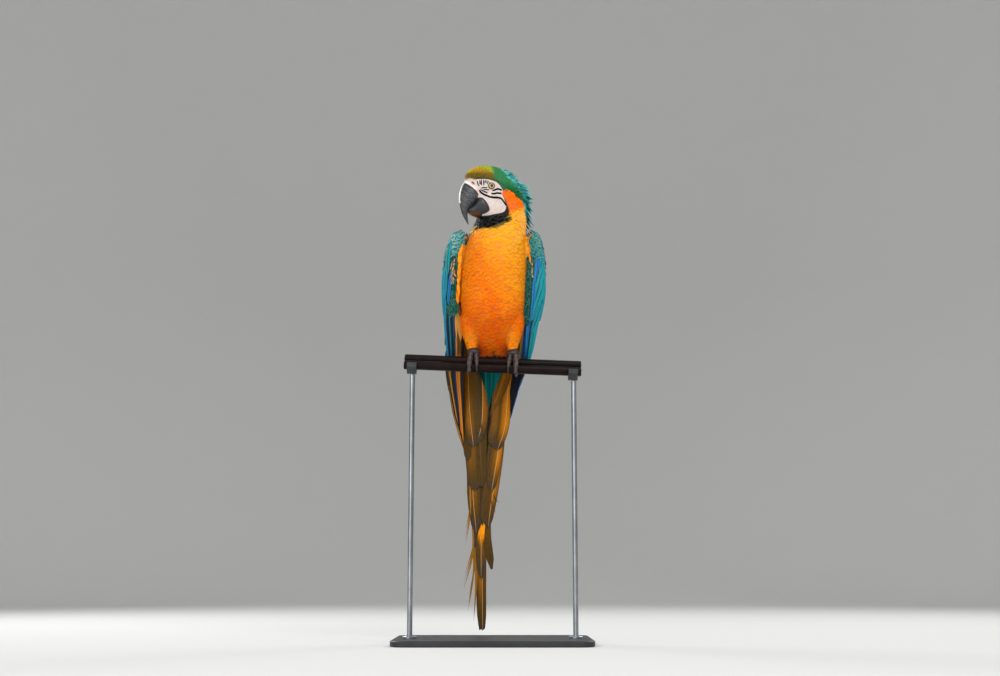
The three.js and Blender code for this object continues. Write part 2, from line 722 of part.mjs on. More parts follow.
// ---------------------------------------------------------------- perch and stand
function bar(name, grow = 0) {
  const [y, z] = BARS[name];
  const half = BAR.length / 2 + grow;
  const r = BAR.radius + grow;
  const c = BAR.chamfer;
  const profile = [[0, -half], [r - c, -half], [r, -half + c], [r, half - c], [r - c, half], [0, half]];
  const geometry = new THREE.LatheGeometry(profile.map(([x, h]) => new THREE.Vector2(x, h)), BAR.sides);
  return solidOf(geometry.rotateZ(Math.PI / 2).translate(0, y, z).applyMatrix4(PERCH_TURN));
}

/** The height of the lower bar's underside at x, in the bird's frame. */
const barBottom = (x) => BARS.lower[1] - BAR.radius - x * Math.tan(deg(BAR.tilt));

function saddle(side) {
  const x = side * ROD.x;
  const [ly, lz] = BARS.lower;
  const [uy, uz] = BARS.upper;
  const shape = new THREE.Shape();
  const reach = BAR.radius + SADDLE.wall;
  shape.moveTo(ly - reach, lz + 2);
  shape.lineTo(ly - reach, lz - 5);
  shape.lineTo(ly - 6, lz - reach - 3);
  shape.lineTo(ly + 6, lz - reach - 3);
  shape.lineTo(uy + reach, uz - 7);
  shape.lineTo(uy + reach, uz + 2);
  shape.closePath();
  const block = new THREE.ExtrudeGeometry(shape, { depth: SADDLE.length, bevelEnabled: false });
  // the shape's x is y and its y is z
  const turn = new THREE.Matrix4().makeBasis(vec(0, 1, 0), vec(0, 0, 1), vec(1, 0, 0));
  block.translate(0, 0, -SADDLE.length / 2).applyMatrix4(turn).translate(x, 0, 0).applyMatrix4(PERCH_TURN);
  return largest(less(solidOf(block), [bar('upper', GAP), bar('lower', GAP)]));
}

function rod(side) {
  const x = side * ROD.x;
  const bottom = BASE.thick + GAP;
  const top = PERCH_TOP + barBottom(x) - SADDLE.wall - 3 - 1.5;
  const profile = [
    [0, bottom], [ROD.flange, bottom], [ROD.flange, bottom + ROD.flangeHeight - 1],
    [ROD.flange - 1, bottom + ROD.flangeHeight], [ROD.radius, bottom + ROD.flangeHeight],
    [ROD.radius, top - 0.5], [ROD.radius - 0.5, top], [0, top],
  ];
  const geometry = new THREE.LatheGeometry(profile.map(([r, z]) => new THREE.Vector2(r, z)), 14);
  return geometry.rotateX(Math.PI / 2).translate(x, PERCH_Y + BARS.lower[0], 0);
}

function base() {
  const w = BASE.width / 2 - BASE.bevel;
  const d = BASE.depth / 2 - BASE.bevel;
  const c = BASE.corner;
  const shape = new THREE.Shape();
  shape.moveTo(-w + c, -d);
  shape.lineTo(w - c, -d);
  shape.absarc(w - c, -d + c, c, -Math.PI / 2, 0);
  shape.lineTo(w, d - c);
  shape.absarc(w - c, d - c, c, 0, Math.PI / 2);
  shape.lineTo(-w + c, d);
  shape.absarc(-w + c, d - c, c, Math.PI / 2, Math.PI);
  shape.lineTo(-w, -d + c);
  shape.absarc(-w + c, -d + c, c, Math.PI, Math.PI * 1.5);
  const geometry = new THREE.ExtrudeGeometry(shape, {
    depth: BASE.thick - 2 * BASE.bevel,
    bevelThickness: BASE.bevel,
    bevelSize: BASE.bevel,
    bevelSegments: 1,
    curveSegments: 4,
  });
  return geometry.translate(0, 0, BASE.bevel);
}

// ---------------------------------------------------------------- cutting the trunk into its named parts
// The neck ends along a plane that rises from under the chin to the nape, in the head's forward and up
// directions.
const NECK_CUT = { f: 25, u: -72, rise: 0.48 };

function neckPlane(offset) {
  const normal = FORWARD.clone().multiplyScalar(NECK_CUT.rise).add(vec(0, 0, 1)).normalize();
  return { normal: normal.toArray(), offset: normal.dot(atHead(NECK_CUT.f, 0, NECK_CUT.u)) + offset };
}
const opposite = (n) => n.map((c) => -c);

function trunkParts() {
  const whole = join([trunkLoft(), headLoft()]);
  const above = neckPlane(GAP / 2);
  const below = neckPlane(-GAP / 2);
  const head = beyond(whole, above.normal, above.offset);
  const underHead = beyond(whole, opposite(below.normal), -below.offset);
  const neck = beyond(underHead, [0, 0, 1], NECK_Z + GAP / 2);
  const body = beyond(underHead, [0, 0, -1], -(NECK_Z - GAP / 2));
  const rump = beyond(body, [0, 0, -1], -(RUMP_Z - GAP / 2));
  const chest = beyond(body, [0, 0, 1], RUMP_Z + GAP / 2);
  const lean = vec(0, 1, BACK.slope).normalize();
  const split = lean.y * BACK.y;
  const torso = beyond(chest, opposite(lean.toArray()), -(split - GAP / 2));
  const back = beyond(chest, lean.toArray(), split + GAP / 2);
  return { head, neck, torso, back, rump };
}

// Hackles down the nape and the feathers of the mantle: heights of the row's roots, angles, and sizes.
const HACKLES = [
  { z: 305, drop: 26, angles: [66, 150], count: 4, half: 6 },
  { z: 284, drop: 27, angles: [58, 158], count: 4, half: 6.5 },
  { z: 262, drop: 28, angles: [66, 166], count: 4, half: 6.5 },
];
const MANTLE = [
  { z: 196, drop: 36, angles: [146, 214], count: 4, half: 13 },
  { z: 166, drop: 38, angles: [150, 210], count: 4, half: 12 },
];
const MANTLE_ROOM = 7; // the wings keep this far off the skin where the mantle's feathers lie

function bodyRow({ z, drop, angles, count, half }, sunk, away, shares) {
  return spread(...angles, count).map((angle, i) => vane(trunkSkin, {
    from: [z - 3 * (i % 2), angle],
    to: [z - drop, angle],
    half,
    lift: (t) => mix(sunk, away, t) + 1.2 * (i % 2),
    shares,
  }));
}

/** What the wings keep clear of: the trunk, and the mantle's feathers on it. */
function wingRoom() {
  const mantleZone = beyond(trunkLoft(MANTLE_ROOM), [0, 0, 1], MANTLE[1].z - MANTLE[1].drop - 2);
  return join([trunkLoft(GAP), beyond(mantleZone, [0, 1, 0], 14)]);
}

// ---------------------------------------------------------------- assembly
const FINISHES = {
  gold: ['#f28a12', 0.75], black: ['#15161a', 0.5], horn: ['#26272b', 0.35], green: ['#6d8a1e', 0.75],
  turquoise: ['#1797a4', 0.6], blue: ['#1273b4', 0.6], olive: ['#9a7420', 0.6], skin: ['#ddcdc4', 0.7],
  eye: ['#d8c24a', 0.15], foot: ['#4a4145', 0.8], bar: ['#241a18', 0.45], stand: ['#2b2c2e', 0.5],
  steel: ['#8f9398', 0.35],
};
const material = (name) => {
  const [color, roughness] = FINISHES[name];
  return new THREE.MeshStandardMaterial({ color, roughness, metalness: name === 'steel' ? 0.9 : 0 });
};

const part = new THREE.Group();
const bird = new THREE.Group();
bird.position.set(0, PERCH_Y, PERCH_TOP);
part.add(bird);

function add(group, name, made, finish) {
  const geometry = made.isBufferGeometry ? made : geometryOf(made);
  const mesh = new THREE.Mesh(geometry, material(finish));
  mesh.name = name;
  group.add(mesh);
}

const trunk = trunkParts();
const bodyGrown = trunkLoft(GAP);
const bills = { upper: upperBill(), lower: less(lowerBill(), [upperBill(GAP)]) };
const billsGrown = [upperBill(GAP), lowerBill(GAP)];
const eyesGrown = [eyeball(1, GAP), eyeball(-1, GAP)];

const SIDES = [['left', 1], ['right', -1]];
const lidded = join([trunk.head, ...SIDES.map(([, side]) => lids(side))]);
const headCut = less(lidded, [...billsGrown, ...eyesGrown, nostril(1), nostril(-1)]);
SIDES.forEach(([name, side]) => {
  add(bird, `face_${name}`, largest(headCut.intersect(cheekPrism(side))), 'skin');
  add(bird, `eye_${name}`, eyeball(side), 'eye');
});
add(bird, 'head', largest(less(headCut, [cheekPrism(1, GAP), cheekPrism(-1, GAP)])), 'green');
add(bird, 'bill_upper', largest(bills.upper), 'horn');
add(bird, 'bill_lower', largest(bills.lower), 'horn');
const hackles = HACKLES.flatMap((r) => bodyRow(r, -4, 6, POINTED));
const mantle = MANTLE.flatMap((r) => bodyRow(r, -4, 3.5, SCALE));
const underHead = neckPlane(-GAP / 2);
const neck = beyond(join([trunk.neck, ...hackles]), opposite(underHead.normal), -underHead.offset);
add(bird, 'neck', largest(neck), 'gold');

const legs = SIDES.map(([, side]) => footCore(side, GAP));
SIDES.forEach(([name, side]) => {
  add(bird, `thigh_${name}`, largest(less(thigh(side), [bodyGrown, ...legs])), 'gold');
});
add(bird, 'torso', largest(less(trunk.torso, legs)), 'gold');
add(bird, 'back', largest(join([trunk.back, ...mantle])), 'turquoise');

const room = wingRoom();
SIDES.forEach(([name, side]) => {
  const sheet = wingSheet(side);
  const arm = join([wingCore(sheet, ARM, 8), ...ARM_ROWS.flatMap((r) => row(sheet, r))]);
  const hand = join([wingCore(sheet, HAND, 4), ...HAND_ROWS.flatMap((r) => row(sheet, r))]);
  add(bird, `wing_${name}_arm`, largest(less(arm, [room])), 'turquoise');
  add(bird, `wing_${name}_hand`, largest(less(hand, [room])), 'blue');
});

const rump = join([trunk.rump, ...tailCoverts(UNDERTAIL), ...tailCoverts(UPPERTAIL)]);
add(bird, 'rump', largest(beyond(rump, [0, 0, -1], -(RUMP_Z - GAP / 2))), 'turquoise');
add(bird, 'tail', largest(less(join([tailRoot(), ...rectrices()]), [bodyGrown])), 'olive');

SIDES.forEach(([name, side]) => {
  add(bird, `foot_${name}`, foot(side), 'foot');
  TOES.forEach((t) => add(bird, `claw_${name}_${t.name}`, claw(side, t), 'black'));
});

add(bird, 'perch_bar_upper', bar('upper'), 'bar');
add(bird, 'perch_bar_lower', bar('lower'), 'bar');
SIDES.forEach(([name, side]) => {
  add(bird, `stand_saddle_${name}`, saddle(side), 'stand');
  add(part, `stand_rod_${name}`, rod(side), 'steel');
});
add(part, 'stand_base', base(), 'stand');

export default part;
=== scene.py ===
"""A life-size blue-and-gold macaw on a short double bar: skin, plumage, bill, eyes, feet, perch and stand.

Lengths are millimetres in the bird's own frame until a mesh is written: it faces -Y, its left is +X, and
the origin is the top of the perch under the breast. Angles are degrees.
"""

import math
from functools import partial

import bpy
import numpy as np
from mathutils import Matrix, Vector
from mathutils.bvhtree import BVHTree
from mathutils.kdtree import KDTree


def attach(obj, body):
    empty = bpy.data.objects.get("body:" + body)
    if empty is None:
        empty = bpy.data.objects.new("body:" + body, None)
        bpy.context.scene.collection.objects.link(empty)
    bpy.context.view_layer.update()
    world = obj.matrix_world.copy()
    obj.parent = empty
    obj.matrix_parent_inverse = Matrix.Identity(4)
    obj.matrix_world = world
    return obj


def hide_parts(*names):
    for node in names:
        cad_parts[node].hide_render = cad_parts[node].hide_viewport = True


bl_info = {
    "name": "Perched Macaw",
    "version": (1, 0, 0),
    "blender": (4, 5, 0),
    "location": "View3D > Sidebar > Macaw",
    "description": "Dresses a packed macaw model in skin, feathers, horn and paint",
    "category": "Object",
}

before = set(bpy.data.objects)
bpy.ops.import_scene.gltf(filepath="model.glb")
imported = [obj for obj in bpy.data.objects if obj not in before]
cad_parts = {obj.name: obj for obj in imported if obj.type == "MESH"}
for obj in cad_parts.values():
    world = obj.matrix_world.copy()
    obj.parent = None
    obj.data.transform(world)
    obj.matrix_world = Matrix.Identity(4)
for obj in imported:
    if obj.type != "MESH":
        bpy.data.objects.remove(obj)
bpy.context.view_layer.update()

MM = 0.001
PERCH = np.array([0.0, -14.0, 483.0])  # the top of the perch, from the centre of the base's underside
LEFT, RIGHT = 1, -1
SIDES = {"left": LEFT, "right": RIGHT}


# ---- small tools
def tone(code):
    """A linear colour from a hexadecimal screen colour."""
    values = np.array([int(code[i:i + 2], 16) / 255 for i in (0, 2, 4)])
    linear = np.where(values <= 0.04045, values / 12.92, ((values + 0.055) / 1.055) ** 2.4)
    return tuple(float(c) for c in linear)


def smooth(x, low, high):
    """0 below low, 1 above high and a soft step between them."""
    t = np.clip((np.asarray(x, float) - low) / (high - low), 0, 1)
    return t * t * (3 - 2 * t)


def blend(a, b, share):
    """Mixes a and b, vectors, colours or names of palette colours, by a share per row."""
    share = np.asarray(share, float)[..., None]
    return colour_of(a) * (1 - share) + colour_of(b) * share


def unit(v):
    return v / np.maximum(np.linalg.norm(v, axis=-1, keepdims=True), 1e-9)


def circle(count):
    """Evenly spaced angles round a full turn, in radians."""
    return np.arange(count) * 2 * math.pi / count


def curve(points):
    """A smooth function through (x, y) points."""
    table = np.array(sorted(points), float)
    x, y = table[:, 0], table[:, 1]
    before = np.maximum(np.arange(len(x)) - 1, 0)
    after = np.minimum(np.arange(len(x)) + 1, len(x) - 1)
    slope = (y[after] - y[before]) / (x[after] - x[before])

    def value(at):
        at = np.asarray(at, float)
        i = np.clip(np.searchsorted(x, at, side="right") - 1, 0, len(x) - 2)
        h = x[i + 1] - x[i]
        t = np.clip((at - x[i]) / h, 0, 1)
        return ((2 * t**3 - 3 * t**2 + 1) * y[i] + (t**3 - 2 * t**2 + t) * h * slope[i]
                + (3 * t**2 - 2 * t**3) * y[i + 1] + (t**3 - t**2) * h * slope[i + 1])

    return value


def stations(names, rows):
    """Smooth functions for the named columns of a table whose first column is the station."""
    return {name: curve([(r[0], r[k + 1]) for r in rows]) for k, name in enumerate(names)}


def metres(points):
    """Points of the bird's frame, in millimetres, as metres in the model's frame."""
    return (np.asarray(points, float) + PERCH) * MM


# ---- body surfaces
TRUNK = stations(("x", "y", "w", "d"), [
    (-8, 0, 48, 12, 6), (4, 0, 43, 25, 15), (20, 0, 33, 33, 28), (40, 0, 20, 43, 42), (70, -1, 5, 55, 57),
    (110, 0, -3, 59, 63), (150, 2, -7, 58.5, 64), (185, 4, -8, 56, 59), (210, 8, -5, 51.5, 51),
    (235, 13, -2, 47.5, 44), (255, 16, 5.5, 45, 33.5), (275, 19, 6.5, 41, 29.5), (295, 20, 7, 35, 25),
    (312, 18, 5, 26, 21),
])
SKULL = stations(("top", "bottom", "w"), [
    (-62, -16, -50, 14), (-54, 4, -60, 22), (-44, 18, -64, 26.5), (-32, 27, -65, 28), (-20, 32, -64, 27.5),
    (-8, 34, -61, 25.5), (4, 34.5, -55, 23), (14, 33, -45, 20.5), (24, 29.5, -29, 17), (32, 25, -17, 13.8),
    (38, 19, -6, 10.5), (42.5, 12, 4, 5),
])
THIGH = stations(("x", "y", "w", "d"), [
    (12.5, 36, 9, 9.5, 10), (22, 36.5, 9, 12, 13), (40, 38, 6, 17, 20), (62, 38, 2, 21, 27),
    (84, 36, 0, 18, 24), (98, 34, 0, 8, 10),
])
EYES = np.array([-10.0, -8.0, 304.0])
HEAD_YAW = math.radians(68)
FORWARD = np.array([-math.sin(HEAD_YAW), -math.cos(HEAD_YAW), 0])
LEFTWARD = np.array([math.cos(HEAD_YAW), -math.sin(HEAD_YAW), 0])
UP = np.array([0.0, 0, 1])
SQUARE = 0.87  # below 1 the head's section is squarer than an ellipse


def rounded(outline, times=2):
    """A closed outline with its corners cut off, so that it runs smoothly."""
    outline = np.array(outline, float)
    for _ in range(times):
        after = np.roll(outline, -1, 0)
        outline = np.stack([outline * 0.75 + after * 0.25, outline * 0.25 + after * 0.75], 1).reshape(-1, 2)
    return outline


# Outlines on the side of the head, as distances forward and up from the eyes: the bare cheek, and the
# black feathers of the throat.
CHEEK = rounded([
    (42, -0.5), (28, 3.3), (20.8, 3.4), (12.6, 4.2), (6.5, 3.2), (-1.2, 1.6), (-8.1, -0.7), (-12.2, -5.4),
    (-16, -10.8), (-17.8, -15.5), (-17, -20.4), (-17.8, -25), (-22, -32.5), (-24.4, -39.2), (-24.6, -42.2),
    (-23.2, -47.5), (-20.3, -52.8), (-14.2, -57), (-0.1, -59.6), (10, -62), (20, -56), (30, -38), (36, -16),
])
THROAT = rounded([
    (46, -84), (28, -84.5), (18.8, -85), (13, -86), (3, -85.2), (-4.7, -82.5), (-13.4, -77), (-21.3, -72),
    (-26.5, -67.2), (-21, -67.4), (-15.5, -69.2), (-19, -65), (-25.5, -58.5), (-29.2, -50.6), (-27.4, -39.2),
    (-22.6, -30.3), (-16, -27), (-16, -36), (-18, -48), (-5, -55), (10, -57), (18, -53), (24, -44), (46, -44),
], 1)


def at_head(f, l, u):
    """A point f forward, l to the bird's left and u up from the midpoint between the eyes."""
    f, l, u = (np.asarray(v, float) for v in (f, l, u))
    return (EYES + np.multiply.outer(f, FORWARD) + np.multiply.outer(l, LEFTWARD)
            + np.multiply.outer(u, UP))


def in_head(p):
    """The forward, left and up distances of points in the head's frame."""
    q = p - EYES
    return q @ FORWARD, q @ LEFTWARD, q @ UP


def trunk_point(z, angle, grow=0.0):
    z, a = np.broadcast_arrays(np.asarray(z, float), np.radians(angle))
    return np.stack([
        TRUNK["x"](z) + (TRUNK["w"](z) + grow) * np.sin(a),
        TRUNK["y"](z) - (TRUNK["d"](z) + grow) * np.cos(a),
        z,
    ], -1)


def trunk_angle(p):
    """The angle of points round the trunk: 0 is the front and 90 the bird's left."""
    z = p[:, 2]
    return np.degrees(np.arctan2(p[:, 0] - TRUNK["x"](z), -(p[:, 1] - TRUNK["y"](z))))


def head_point(f, angle, grow=0.0):
    f, a = np.broadcast_arrays(np.asarray(f, float), np.radians(angle))
    squared = [np.sign(c) * np.abs(c) ** SQUARE for c in (np.sin(a), np.cos(a))]
    top, bottom = SKULL["top"](f), SKULL["bottom"](f)
    across = (SKULL["w"](f) + grow) * squared[0]
    height = (top + bottom) / 2 + ((top - bottom) / 2 + grow) * squared[1]
    return EYES + f[..., None] * FORWARD + across[..., None] * LEFTWARD + height[..., None] * UP


def thigh_point(side, z, angle, grow=0.0):
    z, a = np.broadcast_arrays(np.asarray(z, float), np.radians(angle))
    middle = side * (THIGH["x"](z) - (3 if side > 0 else 0))
    return np.stack([
        middle + (THIGH["w"](z) + grow) * np.sin(a),
        THIGH["y"](z) - (THIGH["d"](z) + grow) * np.cos(a),
        z,
    ], -1)


# ---- wing and tail sheets
WING_SHAPE = {
    RIGHT: stations(("fx", "fy", "mx", "my", "rx", "ry"), [
        (226, 58, -13, 62, 3, 45, 16), (214, 72, -28, 81, 18, 27, 42), (195, 79, -36, 93, 30, 17, 57),
        (160, 85, -36, 99, 38, 12, 67), (110, 86.5, -29, 100, 46, 9, 73), (60, 84, -14, 98, 57, 8, 78),
        (30, 87.5, 5, 98, 63, 8, 81), (10, 93, 20, 99, 68, 9, 84), (-40, 92, 36, 93, 77, 12, 90),
        (-90, 83, 54, 81, 87, 20, 96), (-130, 69, 70, 65, 93, 34, 100), (-160, 62, 81, 56, 96, 44, 102),
    ]),
    LEFT: stations(("fx", "fy", "mx", "my", "rx", "ry"), [
        (226, 57, -13, 62, 3, 45, 16), (214, 71, -28, 82, 18, 27, 42), (195, 80, -36, 94, 30, 17, 57),
        (160, 87, -36, 101, 38, 12, 67), (110, 87, -29, 100, 46, 9, 73), (85, 85, -20, 97, 51, 8, 76),
        (60, 79, -9, 92, 57, 8, 78), (30, 72, 9, 83, 64, 8, 81), (10, 72.5, 22, 72, 70, 8, 84),
        (-25, 65, 41, 52, 80, 7, 90), (-58, 52.5, 67, 38, 91, 5, 95), (-98, 37, 86, 30, 102, 1, 104),
        (-140, 26.5, 94, 19, 107, -3, 109), (-160, 23, 97, 14, 108, -3, 111),
    ]),
}
WING_MIDDLE = curve([(-160, 0), (60, 0), (160, 1), (195, 3), (226, 6)])
CHORD = 150.0  # millimetres across a wing's sheet that v = 1 stands for
# The line down a folded wing's front edge: the height, the distance from the middle, and y.
FRONT_EDGE = {
    RIGHT: stations(("x", "y"), [
        (226, 58, -13), (214, 72, -28), (195, 79, -36), (160, 85, -36), (110, 86.5, -29), (60, 84, -14),
        (30, 82.5, 4), (5, 80, 20), (-26, 80.5, 31), (-80, 75, 50), (-135, 61, 71), (-160, 54, 80),
    ]),
    LEFT: stations(("x", "y"), [
        (226, 57, -13), (214, 71, -28), (195, 80, -36), (160, 87.5, -36), (110, 87.5, -29), (85, 84.5, -20),
        (60, 79.5, -9), (30, 73.5, 8), (10, 68.5, 20), (-25, 55, 41), (-58, 43, 66), (-98, 32, 84),
        (-160, 22, 95),
    ]),
}
FACE_IN, FACE_BACK = 0.955, 0.297  # which way a wing's front face runs: in towards the body, and back
ROUNDING = 6.0  # the front edge is rounded over this much on each side
TAIL_TOP = (0, 47.5, 16)
TAIL_SLOPE = math.radians(6)
TAIL_AXIS = curve([(-20, 0), (0, 0), (60, -6), (160, -14.5), (290, -18), (490, -17.5)])
OUTWARD_STEP = 0.01


def wing_point(side, z, v):
    """The sheet of a folded wing: z is the height, and v runs from its front edge to its rear edge."""
    z, v = np.broadcast_arrays(np.asarray(z, float), np.asarray(v, float))
    shape = WING_SHAPE[side]
    p, q, r = (1 - v) ** 2, 2 * v * (1 - v), v * v
    x = p * shape["fx"](z) + q * shape["mx"](z) + r * shape["rx"](z)
    y = p * shape["fy"](z) + q * shape["my"](z) + r * shape["ry"](z)
    return np.stack([WING_MIDDLE(z) + side * x, y, z], -1)


def wrap_point(side, z, a):
    """A wing's outside, a millimetres back from its front edge; where a is negative, its front face."""
    z, a = np.broadcast_arrays(np.asarray(z, float), np.asarray(a, float))
    line = FRONT_EDGE[side]
    edge = np.stack([WING_MIDDLE(z) + side * line["x"](z), line["y"](z), z], -1)
    start = wing_point(side, z, 0.0)

    def sharp(at):
        back = wing_point(side, z, np.maximum(at, 0) / CHORD) - start
        inward = np.minimum(at, 0)
        return back + np.stack([side * FACE_IN * inward, -FACE_BACK * inward, 0 * inward], -1)
    return edge + (sharp(a - ROUNDING) + 2 * sharp(a) + sharp(a + ROUNDING)) / 4


def face_place(side, z, x):
    """The place across a wing's front face that lies x from the middle at height z."""
    return (x - FRONT_EDGE[side]["x"](z)) / FACE_IN


def tail_point(s, x):
    """The sheet of the tail: s runs down from its root and x across it."""
    s, x = np.broadcast_arrays(np.asarray(s, float), np.asarray(x, float))
    return np.stack([
        x + TAIL_AXIS(s),
        TAIL_TOP[1] + s * math.sin(TAIL_SLOPE) + x * x / 180,
        TAIL_TOP[2] - s * math.cos(TAIL_SLOPE),
    ], -1)


class Sheet:
    """A surface point(a, b) with its outward normal."""

    def __init__(self, point, outward):
        self.point = point
        self.outward = outward

    def normal(self, a, b):
        d = OUTWARD_STEP
        along = self.point(a + d, b) - self.point(a - d, b)
        across = self.point(a, b + d) - self.point(a, b - d)
        n = unit(np.cross(along, across))
        facing = np.sum(n * self.outward(a, b), -1, keepdims=True)
        return np.where(facing < 0, -n, n)


def stack3(x, y, z):
    return np.stack(np.broadcast_arrays(x, y, z), -1).astype(float)


def wing_outward(side, z, v):
    v = np.asarray(v, float)
    return stack3(side * (1.2 - v), v - 0.3, 0 * v)


def wrap_outward(side, z, a):
    a = np.asarray(a, float)
    return np.where(a[..., None] > 0, stack3(side * (1.2 - a / CHORD), a / CHORD - 0.6, 0 * a),
                    stack3(side * 0.3, -1 + 0 * a, 0 * a))


WING_SHEET, WRAP_SHEET = (
    {side: Sheet(partial(point, side), partial(outward, side)) for side in (LEFT, RIGHT)}
    for point, outward in ((wing_point, wing_outward), (wrap_point, wrap_outward)))
TAIL_SHEET = Sheet(tail_point, lambda s, x: stack3(0 * s, -1 + 0 * x, 0 * s))


# ---- meshes
def add_object(name, data):
    made = bpy.data.objects.new(name, data)
    bpy.context.scene.collection.objects.link(made)
    return made


def fill(items, name, values, kind=np.float32):
    """Writes one value, or one vector, for each item."""
    items.foreach_set(name, np.asarray(values).astype(kind).ravel())


def read(items, name, kind=np.float32, width=3):
    values = np.zeros(len(items) * width, kind)
    items.foreach_get(name, values)
    return values.reshape(-1, width)


def colour_layer(mesh, domain, rgb):
    """The plumage's colour for each vertex or each corner, which the materials read."""
    layer = mesh.color_attributes.new("plumage", "FLOAT_COLOR", domain)
    fill(layer.data, "color", np.concatenate([rgb, np.ones((len(rgb), 1))], 1))


def make_object(name, points, polygons, material):
    """A mesh object from points in the bird's frame and a list of polygons."""
    mesh = bpy.data.meshes.new(name)
    mesh.from_pydata([tuple(p) for p in metres(points)], [],
                     [tuple(int(i) for i in poly) for poly in polygons])
    mesh.update()
    mesh.polygons.foreach_set("use_smooth", [True] * len(mesh.polygons))
    if material:
        mesh.materials.append(material)
    return add_object(name, mesh)


def loft(rings):
    """The polygons of a closed loft through rings of points (rings, sides, 3)."""
    count, sides = len(rings), len(rings[0])
    polygons = []
    for i in range(count - 1):
        for j in range(sides):
            a, b = i * sides + j, i * sides + (j + 1) % sides
            polygons.append((a, b, b + sides, a + sides))
    polygons.append(tuple(reversed(range(sides))))
    polygons.append(tuple((count - 1) * sides + j for j in range(sides)))
    return polygons


def turned_out(points, polygons):
    """The polygons turned so that their faces point outwards."""
    volume = 0.0
    for poly in polygons:
        for k in range(1, len(poly) - 1):
            a, b, c = points[poly[0]], points[poly[k]], points[poly[k + 1]]
            volume += float(np.dot(a, np.cross(b, c)))
    return polygons if volume > 0 else [tuple(reversed(poly)) for poly in polygons]


def joined(pieces):
    """The points and outward polygons of several closed pieces, each a pair of its points and polygons."""
    points, polygons = [], []
    for own, faces in pieces:
        polygons += [tuple(i + len(points) for i in poly) for poly in turned_out(own, faces)]
        points += list(own)
    return points, polygons


def lofts(stacks):
    """Stacks of rings as pieces to join."""
    return [(np.concatenate(rings), loft(rings)) for rings in stacks]


def loft_object(name, rings, material):
    return make_object(name, *joined(lofts([rings])), material)


def paint_points(made, colours):
    colour_layer(made.data, "POINT", colours)


def place(made, slot, *nodes):
    """The piece rides with the model and stands for the nodes, which it hides; the slot is not used."""
    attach(made, "root")
    if nodes:
        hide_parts(*nodes)
    return made


# ---- vanes
NO_SHAFT = 40.0  # how far off its shaft a plain vane reads, in millimetres, so that none is drawn
BAKE_PATCH = 0.003  # the size of one vane's patch on the bake's map


